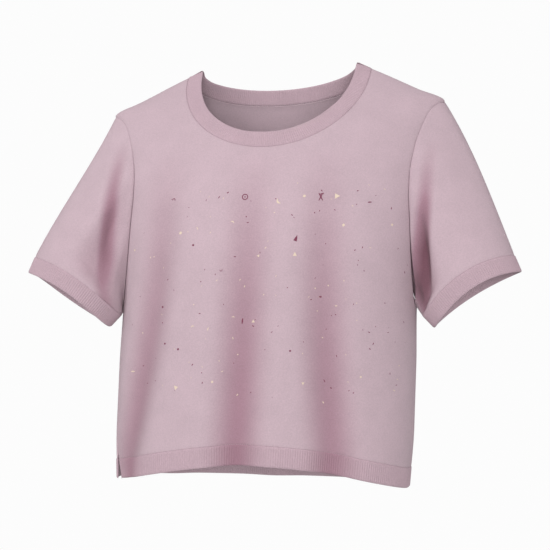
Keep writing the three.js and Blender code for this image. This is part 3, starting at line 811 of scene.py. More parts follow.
def sleeve_shell(side):
    loop = armhole_loop(side, SLEEVE_COLUMNS)
    around = np.arange(SLEEVE_COLUMNS) / SLEEVE_COLUMNS
    turn = math.pi - 2 * math.pi * around
    end = cuff_point(side, turn, CUFF_BAND + CUFF_SEAM_CLEARANCE)
    reach = np.linalg.norm(end - loop, axis=1, keepdims=True)
    bend = CUFF_OUTER_BEND[side] * np.maximum(np.cos(turn), 0)[:, None]
    leave = sleeve_start(side, loop, reach)
    arrive = unit(cuff_along - cuff_out * bend) * reach
    t = close_to_edges(SLEEVE_ROWS, EDGE_LINES, SLEEVE_LENGTH)[:, None, None]
    plain = loop * (2 * t**3 - 3 * t**2 + 1) + leave * (t**3 - 2 * t**2 + t)
    plain = plain + end * (3 * t**2 - 2 * t**3) + arrive * (t**3 - t**2)
    depth = sleeve_fold_depth(side, around[None, :], t[:, :, 0])
    crease = sleeve_crease(side, plain, around)
    pressed = depth + crease * SLEEVE_CREASE[side]["depth"]
    outer = plain - sleeve_normals(plain) * pressed[..., None]
    normals = sleeve_normals(outer)
    along = np.linalg.norm(np.diff(outer, axis=0), axis=2).mean(axis=1)
    along = np.append(0, np.cumsum(along))
    dip = np.exp(-((np.minimum(along, along[-1] - along) / SEAM_DIP_WIDTH) ** 2)) * SEAM_DIP
    outer = outer - normals * dip[:, None, None]
    inner = outer - normals * CLOTH_WALL
    girth = run_length(outer[len(outer) // 2])
    across = np.broadcast_to(around[None, :] * girth, outer.shape[:2])
    pattern = np.stack([across, np.broadcast_to(-along[:, None], outer.shape[:2])], -1)
    outer, inner = on_side(side, outer), on_side(side, inner)
    # Painted shade: the folds and the crease darken the cloth's colour.
    fold = depth * SLEEVE_FOLD_SHADE + crease * CREASE_SHADE
    if side == "left":
        outer, inner, pattern, fold = (run[::-1] for run in (outer, inner, pattern, fold))
    return shell(f"knit_sleeve_{side}", outer, inner, pattern, ring=True, fold=fold)


def sleeve_normals(points):
    around = np.roll(points, -1, axis=1) - np.roll(points, 1, axis=1)
    return unit(np.cross(np.gradient(points, axis=0), around))


sleeves = {side: sleeve_shell(side) for side in ("left", "right")}
for piece in sleeves.values():
    print(piece.name, len(piece.data.polygons), "faces")

# %% [markdown]
# ## Ribbed bands
# Neckband, cuffs and hem are one-by-one rib: columns of stitches stand up in turn on the right
# side and on the inside. A rib repeats hundreds of times, so Geometry Nodes raise it: a smooth
# band carries the distance along itself as an attribute, and the tree moves each point out by
# a rounded wave of that distance. Pitch and rise are inputs, in metres.

# %% A socket with operators, and a maker of nodes
RIB_PITCH = 2.6
RIB_RISE = 0.5
RIB_FULLNESS = 0.7


class Reading:
    """One output of a node that can be used in Python sums."""

    def __init__(self, tree, socket):
        self.tree = tree
        self.socket = socket

    def math(self, operation, *others):
        settings = dict(operation=operation)
        values = {k: v for k, v in enumerate((self, *others))}
        return self.tree.node("ShaderNodeMath", settings, values)

    def __add__(self, other):
        return self.math("ADD", other)

    def __sub__(self, other):
        return self.math("SUBTRACT", other)

    def __mul__(self, other):
        return self.math("MULTIPLY", other)

    def __truediv__(self, other):
        return self.math("DIVIDE", other)

    def __pow__(self, other):
        return self.math("POWER", other)

    def __rsub__(self, other):
        return self.tree.number(other).math("SUBTRACT", self)

    __radd__ = __add__
    __rmul__ = __mul__

    def sine(self):
        return self.math("SINE")

    def cosine(self):
        return self.math("COSINE")

    def absolute(self):
        return self.math("ABSOLUTE")

    def fraction(self):
        return self.math("FRACT")


class Bench:
    """A node tree that nodes are put on, with one method for all kinds of node."""

    def __init__(self, tree):
        self.tree = tree

    def node(self, kind, settings=None, values=None, output=0):
        made = self.tree.nodes.new(kind)
        for name, value in (settings or {}).items():
            if name == "stops":
                self.set_stops(made.color_ramp, value)
            else:
                setattr(made, name, value)
        for name, value in (values or {}).items():
            self.feed(made.inputs[name], value)
        return Reading(self, made.outputs[output]) if len(made.outputs) else made

    def feed(self, socket, value):
        if isinstance(value, Reading):
            self.tree.links.new(value.socket, socket)
        else:
            socket.default_value = value

    def set_stops(self, ramp, stops):
        while len(ramp.elements) < len(stops):
            ramp.elements.new(0.5)
        for element, (place, colour) in zip(ramp.elements, stops):
            element.position = place
            element.color = colour

    def number(self, value):
        return self.node("ShaderNodeMath", dict(operation="ADD"), {0: float(value), 1: 0.0})


# %% [markdown]
# A Geometry Nodes tree is made once and used by every band. Its inputs are set on the modifier
# by their identifiers. The result is baked into a plain mesh, and the modifier goes.


# %% Geometry Nodes helpers
def new_geometry_tree(name, inputs):
    tree = bpy.data.node_groups.new(name, "GeometryNodeTree")
    tree.interface.new_socket("Geometry", in_out="INPUT", socket_type="NodeSocketGeometry")
    tree.interface.new_socket("Geometry", in_out="OUTPUT", socket_type="NodeSocketGeometry")
    for label, kind in inputs.items():
        tree.interface.new_socket(label, in_out="INPUT", socket_type=f"NodeSocket{kind}")
    bench = Bench(tree)
    start = tree.nodes.new("NodeGroupInput")
    given = {out.name: Reading(bench, out) for out in start.outputs if out.name}
    return tree, bench, given


def finish_tree(bench, geometry, material):
    whole = bench.node("GeometryNodeRealizeInstances", values={"Geometry": geometry})
    painted = bench.node("GeometryNodeSetMaterial", values={"Geometry": whole, "Material": material})
    end = bench.tree.nodes.new("NodeGroupOutput")
    bench.feed(end.inputs["Geometry"], painted)


def run_tree(piece, tree, values):
    """Puts a tree on a piece, sets its inputs and turns the result into the piece's own mesh."""
    modifier = piece.modifiers.new(tree.name, "NODES")
    modifier.node_group = tree
    for item in tree.interface.items_tree:
        if item.in_out == "INPUT" and item.name in values:
            modifier[item.identifier] = values[item.name]
    piece.update_tag()
    graph = bpy.context.evaluated_depsgraph_get()
    mesh = bpy.data.meshes.new_from_object(piece.evaluated_get(graph), depsgraph=graph)
    piece.modifiers.remove(modifier)
    old = piece.data
    piece.data = mesh
    bpy.data.meshes.remove(old)
    mesh.name = piece.name
    return piece


def rib_tree():
    inputs = {"Pitch": "Float", "Rise": "Float", "Material": "Material"}
    tree, bench, given = new_geometry_tree("rib_knit", inputs)
    along, share = (
        bench.node("GeometryNodeInputNamedAttribute", dict(data_type="FLOAT"), {"Name": name})
        for name in ("rib_along", "rib_share")
    )
    wave = (along * (2 * math.pi) / given["Pitch"]).cosine() * 0.5 + 0.5
    height = wave**RIB_FULLNESS * given["Rise"] * share
    normal = bench.node("GeometryNodeInputNormal")
    offset = bench.node("ShaderNodeVectorMath", dict(operation="SCALE"), {0: normal, "Scale": height})
    moved = {"Geometry": given["Geometry"], "Offset": offset}
    raised = bench.node("GeometryNodeSetPosition", values=moved)
    finish_tree(bench, raised, given["Material"])
    return tree


RIB_TREE = rib_tree()
print("rib pitch", RIB_PITCH, "mm, rise", RIB_RISE, "mm")

# %% [markdown]
# ## Hem and cuffs
# A band starts as a smooth tube or strip from its edge to its seam. Its inner face carries the
# same distance moved by half a pitch, because a column that stands up on one side of a rib
# falls back on the other.

# %% Band helpers
POINTS_PER_RIB = 8
CUFF_STEPS = 720
BAND_LINES = [0.0, 0.5, 1.4, 3.0]
BAND_ROWS = 5
RIM_ROUND = 0.35
RIM_ROUND_WIDTH = 0.7
RIB_TAPER = 1.6


def band_shell(name, low, high, out, along, ring, fold=0.0):
    """A band from its two edges, the way out of its cloth and the distance along it, in mm."""
    width = np.linalg.norm(high - low, axis=1).mean()
    t = close_to_edges(BAND_ROWS, BAND_LINES[1:], width)
    up = t[:, None, None]
    near_edge = np.minimum(t, 1 - t) * width
    tuck = RIM_ROUND * np.exp(-((near_edge / RIM_ROUND_WIDTH) ** 2))[:, None, None]
    outer = low * (1 - up) + high * up - out * tuck
    inner = low * (1 - up) + high * up - out * (BAND_WALL - tuck)
    pattern = np.stack(np.broadcast_arrays(along[None, :], (t * width)[:, None]), -1)
    piece = shell(name, outer, inner, pattern, ring, fold)
    both = np.tile(along * MM, len(t))
    write_attribute(piece.data, "rib_along", np.concatenate([both, both + RIB_PITCH / 2 * MM]))
    share = np.broadcast_to(soft_step(near_edge / RIB_TAPER)[:, None], outer.shape[:2])
    if not ring:
        share = share * soft_step(np.minimum(along, along[-1] - along) / RIB_TAPER)[None, :]
    write_attribute(piece.data, "rib_share", np.tile(share.ravel(), 2))
    return piece


def even_columns(length):
    """How many columns of points a band needs for a whole number of ribs."""
    ribs = max(1, round(length / RIB_PITCH))
    return ribs, ribs * POINTS_PER_RIB


def hem_band(panel):
    width = 2 * float(side_seam_across(panel, HEM_AT_SIDE))
    ribs, columns = even_columns(width)
    end = 1 - 2 * SEAM_RETREAT / width
    share = np.linspace(-end, end, columns + 1)
    low = hem_place(panel, share, 0)
    high = hem_place(panel, share, HEM_BAND - SEAM_RETREAT)
    low_points = cloth_point(panel, low[:, 0], low[:, 1])
    high_points = cloth_point(panel, high[:, 0], high[:, 1])
    sign = PANEL_SIGN[panel]
    out = unit(np.cross(np.gradient(high_points, axis=0), high_points - low_points)) * sign
    along = np.linspace(0, ribs * RIB_PITCH, columns + 1)
    # The folds' painted shade carries on into the hem.
    fold = fold_depth(panel, high[:, 0], high[:, 1])[None, :] * BODY_FOLD_SHADE
    if sign < 0:
        low_points, high_points, out = low_points[::-1], high_points[::-1], out[::-1]
        fold = fold[:, ::-1]
    return band_shell(f"rib_hem_{panel}", low_points, high_points, out, along, False, fold)


def cuff_band(side):
    turn = np.linspace(0, 2 * math.pi, CUFF_STEPS)
    rim = cuff_point(side, turn, 0)
    girth = run_length(rim)
    ribs, columns = even_columns(girth)
    turns = along_run(turn[:, None], np.arange(columns) / columns, rim)[:, 0]
    low = on_side(side, cuff_point(side, turns, 0))
    high = on_side(side, cuff_point(side, turns, CUFF_BAND - SEAM_RETREAT))
    out = on_side(side, cuff_normal(side, turns))
    along = np.arange(columns) * RIB_PITCH / POINTS_PER_RIB
    if side == "left":
        low, high, out = low[::-1], high[::-1], out[::-1]
    return band_shell(f"rib_cuff_{side}", low, high, out, along, True)


print("helpers for", BAND_ROWS, "row bands")

# %% [markdown]
# ## Neckband
# The neckband stands on the panels' own neck edges as one ring. It goes on in the direction of
# the cloth below it and stands up more from the back, where it follows the neck. It is knitted
# double and folded at the top, so its edge is round.

# %% The neckband
NECK_BAND = 19
NECK_LEAN = dict(front=0.1, back=0.48)
NECK_LEAN_SPREAD = 0.7
NECK_FINE = 12


def neck_ring():
    """The seam points of both panels as one loop, with the way out and the lean at each."""
    points, normals, leans = [], [], []
    for panel in ("front", "back"):
        count = NECK_COLUMNS[panel] * NECK_FINE
        places = neck_places(panel, np.arange(count + 1) / count)
        lean = NECK_LEAN[panel] * np.sin(math.pi * np.arange(count + 1) / count) ** NECK_LEAN_SPREAD
        point, normal = cloth_point(panel, *places.T), cloth_normal(panel, *places.T)
        if panel == "back":
            point, normal, lean = point[::-1], normal[::-1], lean[::-1]
        points.append(point[:-1])
        normals.append(normal[:-1])
        leans.append(lean[:-1])
    return np.concatenate(points), np.concatenate(normals), np.concatenate(leans)


def neck_band():
    point, normal, lean = neck_ring()
    around = np.roll(point, -1, axis=0) - np.roll(point, 1, axis=0)
    up = unit(unit(np.cross(normal, around)) + normal * lean[:, None])
    out = unit(np.cross(around, up))
    low, high = point + up * SEAM_RETREAT, point + up * NECK_BAND
    rings = [closed(run) for run in (low, high, out)]
    ribs, columns = even_columns(run_length(rings[0]))
    shares = np.arange(columns) / columns
    low, high, out = (along_run(run, shares, rings[0]) for run in rings)
    along = np.arange(columns) * RIB_PITCH / POINTS_PER_RIB
    return band_shell("rib_neckband", low, high, unit(out), along, True)


neckband = neck_band()
cuffs = {side: cuff_band(side) for side in ("left", "right")}
hems = {panel: hem_band(panel) for panel in ("front", "back")}
bands = [neckband, *cuffs.values(), *hems.values()]
for piece in bands:
    print(piece.name, len(piece.data.polygons), "faces")

# %% [markdown]
# ## Knit finishes
# Up close, plain knit is columns of small V stitches. The maths below makes their height from
# the pattern's UV map: each column of stitches has two legs that slant, one each way. The
# yarn is heathered, so its colour varies a little from stitch to stitch and in soft clouds.
# Shade is painted into the colour as well: the deeper a fold, the darker and pinker the cloth.

# %% The jersey and rib finishes
WALE = 1.3
COURSE = 0.95
JERSEY_PINK = (0.540, 0.412, 0.458)
RIB_PINK = (0.490, 0.358, 0.405)
SEAM_PINK = (0.470, 0.335, 0.385)
STITCH_SLANT = 0.7
STITCH_RELIEF = 0.3
CLOUD_SCALE = 40.0
GRAIN_SCALE = 700.0
HEATHER_RANGE = (0.33, 0.67)
BUMP_STRENGTH = 0.6
MATT = {"Roughness": 0.92, "Specular IOR Level": 0.2, "Sheen Weight": 0.15, "Sheen Roughness": 0.6}
HEATHER_DARK = 0.92
HEATHER_LIGHT = 1.07
# Painted shade: the cloth's colour is multiplied darker and pinker the deeper its fold.
FOLD_SHADE_STOPS = [
    (0.0, (1.0, 1.0, 1.0, 1.0)),
    (0.4, (0.68, 0.52, 0.58, 1.0)),
    (1.0, (0.34, 0.20, 0.24, 1.0)),
]
CLOUD_SHARE = 0.3


def new_finish(name):
    material = bpy.data.materials.new(name)
    material.use_nodes = True
    tree = material.node_tree
    shader = tree.nodes["Principled BSDF"]
    return material, Bench(tree), shader


def stitch_height(bench, u, v):
    """Height of plain knit, from 0 to 1, at a place on the pattern in metres."""
    column_share = (u / (WALE * MM)).fraction()
    from_middle = (column_share * 2 - 1).absolute()
    leg = 1 - (from_middle * 2 - 1) ** 2
    slant = (v / (COURSE * MM) + from_middle * STITCH_SLANT) * (2 * math.pi)
    return leg * (slant.sine() * STITCH_RELIEF + (1 - STITCH_RELIEF))


def blend(bench, share, low, high, how="MIX"):
    """Mixes two colours by a share. Either may be numbers or the output of another node."""
    colours = [(*c, 1) if isinstance(c, tuple) else c for c in (low, high)]
    values = {0: share, 6: colours[0], 7: colours[1]}
    return bench.node("ShaderNodeMix", dict(data_type="RGBA", blend_type=how), values, output=2)


def heather_and_fold_shade(bench, colour):
    """The yarn's colour, with faint clouds and single lighter and darker stitches, and with shade
    painted in the folds.
    """
    place = bench.node("ShaderNodeTexCoord", output=3)
    clouds, grain = (
        bench.node("ShaderNodeTexNoise", values={"Vector": place, "Scale": scale, "Detail": 2.0})
        for scale in (CLOUD_SCALE, GRAIN_SCALE)
    )
    share = clouds * CLOUD_SHARE + grain * (1 - CLOUD_SHARE)
    low, high = HEATHER_RANGE
    spread = {"Value": share, "From Min": low, "From Max": high}
    share = bench.node("ShaderNodeMapRange", values=spread)
    dark = tuple(c * HEATHER_DARK for c in colour)
    light = tuple(c * HEATHER_LIGHT for c in colour)
    yarn = blend(bench, share, dark, light)
    # Painted shade in the folds, multiplied into the yarn's colour.
    fold = bench.node("ShaderNodeAttribute", dict(attribute_name="fold"), output=2)
    painted_fold_shade = bench.node("ShaderNodeValToRGB", dict(stops=FOLD_SHADE_STOPS), {0: fold})
    return blend(bench, 1.0, yarn, painted_fold_shade, "MULTIPLY")


def pattern_uv(bench):
    place = bench.node("ShaderNodeUVMap", dict(uv_map="pattern"))
    parts = bench.node("ShaderNodeSeparateXYZ", values={0: place})
    across = Reading(bench, parts.socket.node.outputs[0])
    up = Reading(bench, parts.socket.node.outputs[1])
    return across, up


def knit_finish(name, colour, bump, plain):
    material, bench, shader = new_finish(name)
    u, v = pattern_uv(bench)
    if plain:
        height = stitch_height(bench, u, v)
    else:
        row = (v / (COURSE * MM) * (2 * math.pi)).sine()
        height = row * 0.5 + 0.5
    raised = bench.node(
        "ShaderNodeBump", values={"Height": height, "Distance": bump * MM, "Strength": BUMP_STRENGTH}
    )
    shade = heather_and_fold_shade(bench, colour)
    for socket, value in MATT.items():
        shader.inputs[socket].default_value = value
    bench.feed(shader.inputs["Base Color"], shade)
    bench.feed(shader.inputs["Normal"], raised)
    return material


jersey = knit_finish("jersey_knit", JERSEY_PINK, 0.25, True)
rib = knit_finish("rib_knit", RIB_PINK, 0.2, False)
for piece in (front, back, *sleeves.values()):
    piece.data.materials.append(jersey)
for piece in bands:
    sizes = {"Pitch": RIB_PITCH * MM, "Rise": RIB_RISE * MM, "Material": rib}
    run_tree(piece, RIB_TREE, sizes)
print("finishes:", jersey.name, rib.name)

# %% [markdown]
# ## Seam stitches
# The pieces are joined with small stitches in yarn of the same colour. One stitch is a short
# rounded bar. A Geometry Nodes tree turns a seam's line into a curve, and lays the stitch along
# it at an even pitch, flat on the cloth, by the direction that is stored on the line.

# %% Seam stitches
STITCH_PITCH = 2.4
STITCH_LENGTH = 1.9
STITCH_THICKNESS = 0.5
STITCH_SINK = dict(neck=0.12, armhole=0.42, cuff=0.3, hem=0.28, side=0.4, shoulder=0.4)
STITCH_SIDES = 6
BAR_PROFILE = ((-0.5, 0.35), (-0.4, 0.8), (0.0, 1.0), (0.4, 0.8), (0.5, 0.35))


def bar_mesh(name, length, width, height, sides=STITCH_SIDES):
    """A rounded bar along X, centred on the origin, in mm."""
    turn = np.arange(sides) * 2 * math.pi / sides
    across, up = np.cos(turn) * width / 2, np.sin(turn) * height / 2
    rings = [
        np.stack([0 * turn + at * length, across * wide, up * wide], -1)
        for at, wide in BAR_PROFILE
    ]
    faces = face_indices(len(rings), sides, True, 0).tolist()
    last = (len(rings) - 1) * sides
    faces += [list(range(sides)), [last + k for k in reversed(range(sides))]]
    mesh = bpy.data.meshes.new(name)
    mesh.from_pydata((np.concatenate(rings) * MM).tolist(), [], [face[::-1] for face in faces])
    mesh.shade_smooth()
    return new_piece(name, mesh)


def stitch_tree():
    inputs = {"Pitch": "Float", "Stitch": "Object", "Material": "Material"}
    tree, bench, given = new_geometry_tree("seam_stitches", inputs)
    line = bench.node("GeometryNodeMeshToCurve", values={"Mesh": given["Geometry"]})
    even = bench.node(
        "GeometryNodeResampleCurve", dict(mode="LENGTH"), {"Curve": line, "Length": given["Pitch"]}
    )
    out = bench.node(
        "GeometryNodeInputNamedAttribute", dict(data_type="FLOAT_VECTOR"), {"Name": "seam_out"}
    )
    along = bench.node("GeometryNodeInputTangent")
    laid = bench.node("FunctionNodeAlignRotationToVector", dict(axis="X"), {"Vector": along})
    turned = bench.node(
        "FunctionNodeAlignRotationToVector",
        dict(axis="Z", pivot_axis="X"),
        {"Rotation": laid, "Vector": out},
    )
    bar = bench.node("GeometryNodeObjectInfo", values={"Object": given["Stitch"]}, output=4)
    placed = bench.node(
        "GeometryNodeInstanceOnPoints", values={"Points": even, "Instance": bar, "Rotation": turned}
    )
    finish_tree(bench, placed, given["Material"])
    return tree


SEAM_STEPS = dict(armhole=120, cuff=200, hem=200, side=90, shoulder=60)
SEAM_INSET = 0.01


def seam_line(name, runs, sink):
    """A mesh of bare edges along a seam. Each run has its points, its ways out and if it closes."""
    points, outs, edges = [], [], []
    for run, out, closed in runs:
        first = len(points)
        points.extend((run - out * sink) * MM)
        outs.extend(out)
        edges.extend((first + k, first + k + 1) for k in range(len(run) - 1))
        if closed:
            edges.append((first + len(run) - 1, first))
    mesh = bpy.data.meshes.new(name)
    mesh.from_pydata([tuple(point) for point in points], edges, [])
    attribute = mesh.attributes.new("seam_out", "FLOAT_VECTOR", "POINT")
    attribute.data.foreach_set("vector", np.array(outs, float).ravel())
    return new_piece(name, mesh)


def armhole_seam(side):
    sign = SIDE_SIGN[side]
    points, outs = [], []
    for panel in ("front", "back"):
        shares = np.linspace(SEAM_INSET, 1 - SEAM_INSET, SEAM_STEPS["armhole"])
        places = along_run(armhole_run(panel), shares)
        across, z = sign * places[:, 0], places[:, 1]
        run, out = cloth_point(panel, across, z), cloth_normal(panel, across, z)
        points.append(run if panel == "front" else run[::-1])
        outs.append(out if panel == "front" else out[::-1])
    return np.concatenate(points), np.concatenate(outs), True


def panel_seam(panel, across, z):
    return cloth_point(panel, across, z), cloth_normal(panel, across, z), False


def cuff_seam(side):
    turn = np.arange(SEAM_STEPS["cuff"]) / SEAM_STEPS["cuff"] * 2 * math.pi
    points = on_side(side, cuff_point(side, turn, CUFF_BAND))
    return points, on_side(side, cuff_normal(side, turn)), True


def hem_seam(panel):
    end = 1 - SEAM_INSET
    places = hem_place(panel, np.linspace(-end, end, SEAM_STEPS["hem"]), HEM_BAND)
    return panel_seam(panel, places[:, 0], places[:, 1])


def side_seam(sign):
    z = np.linspace(UNDERARM_HEIGHT - 1, HEM_AT_SIDE + 2, SEAM_STEPS["side"])
    return panel_seam("front", sign * side_seam_across("front", z), z)


def shoulder_seam(sign):
    ends = (SHOULDER_TIP_HEIGHT + 1, NECK_SEAM_AT["shoulder"] - 1)
    z = np.linspace(*ends, SEAM_STEPS["shoulder"])
    return panel_seam("front", sign * across_at_depth("front", form["ridge"](z), z), z)


neck_points, neck_outs, _ = neck_ring()
SEAMS = dict(
    neck=[(neck_points, neck_outs, True)],
    armhole=[armhole_seam("left"), armhole_seam("right")],
    cuff=[cuff_seam("left"), cuff_seam("right")],
    hem=[hem_seam("front"), hem_seam("back")],
    side=[side_seam(1), side_seam(-1)],
    shoulder=[shoulder_seam(1), shoulder_seam(-1)],
)
yarn = knit_finish("seam_yarn", SEAM_PINK, 0.05, False)
stitch = bar_mesh("stitch", STITCH_LENGTH, STITCH_THICKNESS, STITCH_THICKNESS)
tree = stitch_tree()
stitches = []
for name, runs in SEAMS.items():
    piece = seam_line(f"stitches_{name}", runs, STITCH_SINK[name])
    run_tree(piece, tree, {"Pitch": STITCH_PITCH * MM, "Stitch": stitch, "Material": yarn})
    stitches.append(piece)
    print(piece.name, len(piece.data.polygons), "faces")
bpy.data.objects.remove(stitch)

# %% [markdown]
# ## Flecks in the yarn
# The front is flecked with odd bits of other yarn, cream and plum, and a few larger ones have
# simple shapes: rings, crescents, triangles and dashes. The larger ones are listed one by one, by
# where the photograph shows such a fleck. Each is a stroke of cloth a quarter of a millimetre
# high, drawn from its middle line and its width along it.

# %% The larger flecks
FLECK_HEIGHT = 0.22
FLECK_SINK = 0.1
NEAREST_POINTS = 4
NEAREST_BIAS = 0.05
CREAM = (0.72, 0.60, 0.47)
PLUM = (0.20, 0.055, 0.095)


def arc(start, end, steps, radius=0.5):
    turn = np.radians(np.linspace(start, end, steps + 1))
    return np.stack([np.cos(turn), np.sin(turn)], -1) * radius


def bar(x, z, angle, length=1.0, steps=4):
    way = np.array([math.cos(math.radians(angle)), math.sin(math.radians(angle))])
    return np.array([x, z]) + way * np.linspace(-0.5, 0.5, steps + 1)[:, None] * length


# Each shape: strokes of unit size, with the width at its start, middle and end
FLECK_SHAPES = dict(
    ring=[(arc(0, 360, 16, 0.4), (0.13, 0.13, 0.13)), (bar(0, 0, 0, 0.2), (0.1, 0.2, 0.1))],
    hook=[(arc(200, -30, 10, 0.35), (0.1, 0.2, 0.15))],
    crescent=[(arc(-60, 70, 8, 0.5), (0.05, 0.3, 0.05))],
    dot=[(bar(0, 0, 0, 0.9), (0.3, 0.9, 0.3))],
    dash=[(bar(0, 0, 0), (0.15, 0.3, 0.15))],
    drop=[(bar(0, 0, 60), (0.6, 0.4, 0.05))],
    triangle=[(bar(0, 0, 0, 0.9), (0.05, 0.5, 1.0))],
    sprig=[
        (bar(0, 0, 65), (0.08, 0.16, 0.08)),
        (bar(0, 0, 120), (0.08, 0.16, 0.08)),
        (bar(0.05, 0.35, 20, 0.6), (0.05, 0.12, 0.05)),
    ],
)

# Shape, colour, pixel of the photograph, size in mm and turn in degrees
LARGE_FLECKS = [
    ("ring", "plum", (245, 197), 7.5, 0),
    ("crescent", "cream", (280, 200), 7.0, -150),
    ("dot", "cream", (305, 196), 3.5, 40),
    ("sprig", "plum", (321, 197), 9.5, 0),
    ("triangle", "cream", (338, 196), 6.0, 180),
    ("dash", "plum", (370, 202), 4.5, 5),
    ("hook", "plum", (174, 200), 4.5, 0),
    ("dash", "plum", (219, 197), 3.0, 60),
    ("crescent", "cream", (232, 223), 4.5, 60),
    ("crescent", "cream", (196, 229), 3.5, 20),
    ("dot", "cream", (181, 233), 4.0, 30),
    ("dot", "cream", (343, 225), 3.5, 70),
    ("dot", "cream", (392, 225), 3.0, 0),
    ("drop", "plum", (296, 238), 6.5, 10),
    ("dot", "plum", (193, 245), 2.8, 0),
    ("triangle", "cream", (295, 254), 4.5, -90),
    ("triangle", "cream", (258, 256), 3.0, 0),
    ("dot", "cream", (135, 250), 2.8, 0),
    ("hook", "plum", (221, 270), 3.5, 200),
    ("drop", "plum", (320, 297), 3.8, 120),
    ("dot", "plum", (163, 307), 3.0, 20),
    ("crescent", "cream", (233, 318), 3.4, 80),
    ("dash", "plum", (242, 321), 6.0, 85),
    ("triangle", "cream", (253, 322), 3.4, 30),
    ("crescent", "cream", (193, 328), 4.4, 100),
    ("dash", "cream", (208, 329), 3.8, 70),
    ("dot", "plum", (165, 344), 2.6, 0),
    ("dot", "plum", (178, 349), 2.8, 60),
    ("dot", "plum", (290, 351), 2.6, 0),
    ("dash", "cream", (133, 371), 5.0, 0),
    ("triangle", "cream", (175.5, 387), 5.0, -45),
    ("dot", "cream", (212, 382), 2.8, 70),
    ("triangle", "cream", (303, 384), 3.2, 90),
    ("dash", "plum", (324, 381), 3.4, -60),
    ("dot", "cream", (361, 377), 2.6, 0),
    ("dash", "cream", (394, 390), 3.2, -30),
]


def to_pixels(points):
    """Where points in mm are in the picture."""
    seen = np.array(camera.matrix_world.inverted())
    local = points * MM @ seen[:3, :3].T + seen[:3, 3]
    data = camera.data
    scale = data.lens / data.sensor_width * PHOTO_WIDTH / -local[:, 2]
    x = PHOTO_WIDTH * (0.5 - data.shift_x) + local[:, 0] * scale
    y = PHOTO_WIDTH * (0.5 + data.shift_y) - local[:, 1] * scale
    return np.stack([x, y], -1)


front_places, front_points = CLOTH_PLACES["front"]
front_pixels = to_pixels(front_points)


def place_at(pixel):
    """The place on the front's pattern that the picture shows at a pixel."""
    gap = np.linalg.norm(front_pixels - np.array(pixel, float), axis=1)
    near = np.argsort(gap)[:NEAREST_POINTS]
    share = 1 / (gap[near] + NEAREST_BIAS)
    return (front_places[near] * share[:, None]).sum(axis=0) / share.sum()


def stroke(place, size, turn, line, widths):
    """Points and faces of one stroke on the front, as a thin closed bar."""
    cos, sin = math.cos(math.radians(turn)), math.sin(math.radians(turn))
    line = line @ np.array([[cos, sin], [-sin, cos]]) * size
    way = unit(np.gradient(line, axis=0))
    sideways = np.stack([-way[:, 1], way[:, 0]], -1)
    share = np.interp(np.linspace(0, 1, len(line)), (0, 0.5, 1), widths)[:, None] * size / 2
    near, far = place + line - sideways * share, place + line + sideways * share
    corners = []
    lifts = (-FLECK_SINK, FLECK_HEIGHT, FLECK_HEIGHT, -FLECK_SINK)
    for lift, run in zip(lifts, (near, near, far, far)):
        out = cloth_normal("front", run[:, 0], run[:, 1])
        corners.append(cloth_point("front", run[:, 0], run[:, 1]) + out * lift)
    points = np.stack(corners, axis=1).reshape(-1, 3)
    faces = face_indices(len(line), 4, True, 0).tolist()
    last = 4 * (len(line) - 1)
    return points, faces + [[3, 2, 1, 0], [last, last + 1, last + 2, last + 3]]


def large_flecks(colour, material):
    points, faces = [], []
    for shape, named, pixel, size, turn in LARGE_FLECKS:
        if named != colour:
            continue
        for line, widths in FLECK_SHAPES[shape]:
            more, around = stroke(place_at(pixel), size, turn, line, widths)
            faces.extend([k + len(points) for k in face] for face in around)
            points.extend(more * MM)
    mesh = bpy.data.meshes.new(f"flecks_{colour}")
    mesh.from_pydata([tuple(point) for point in points], [], faces)
    mesh.materials.append(material)
    return new_piece(mesh.name, mesh)


def fleck_finish(name, colour):
    material, bench, shader = new_finish(name)
    shader.inputs["Base Color"].default_value = (*colour, 1)
    shader.inputs["Roughness"].default_value = 0.9
    shader.inputs["Specular IOR Level"].default_value = 0.2
    return material


fleck_yarns = dict(cream=fleck_finish("fleck_cream", CREAM), plum=fleck_finish("fleck_plum", PLUM))
flecks = [large_flecks(colour, fleck_yarns[colour]) for colour in fleck_yarns]
for piece in flecks:
    print(piece.name, len(piece.data.polygons), "faces")

# %% [markdown]
# The small flecks are too many to place, so a Geometry Nodes tree scatters one chip of yarn over
# the flecked part of the front, with a fixed seed, and gives each its own turn and size.

# %% The small flecks
FLECKED = dict(left=(128, 190), right=(405, 402))
SMALL_FLECKS = dict(cream=(620.0, 4), plum=(880.0, 11))
FLECKED_GRID = (60, 50)
CHIP = (2.1, 0.9, 0.4)
CHIP_SIZES = ((0.45, 0.6, 0.8), (1.3, 1.5, 1.1))


def flecked_cloth():
    """A bare grid just over the part of the front that is flecked."""
    corners = [place_at(FLECKED["left"]), place_at(FLECKED["right"])]
    across = np.linspace(corners[0][0], corners[1][0], FLECKED_GRID[0])
    height = np.linspace(corners[1][1], corners[0][1], FLECKED_GRID[1])
    across, height = np.meshgrid(across, height)
    points = cloth_point("front", across, height)
    mesh = bpy.data.meshes.new("flecked_cloth")
    faces = face_indices(*across.shape, False, 0).tolist()
    mesh.from_pydata((points.reshape(-1, 3) * MM).tolist(), [], faces)
    return mesh


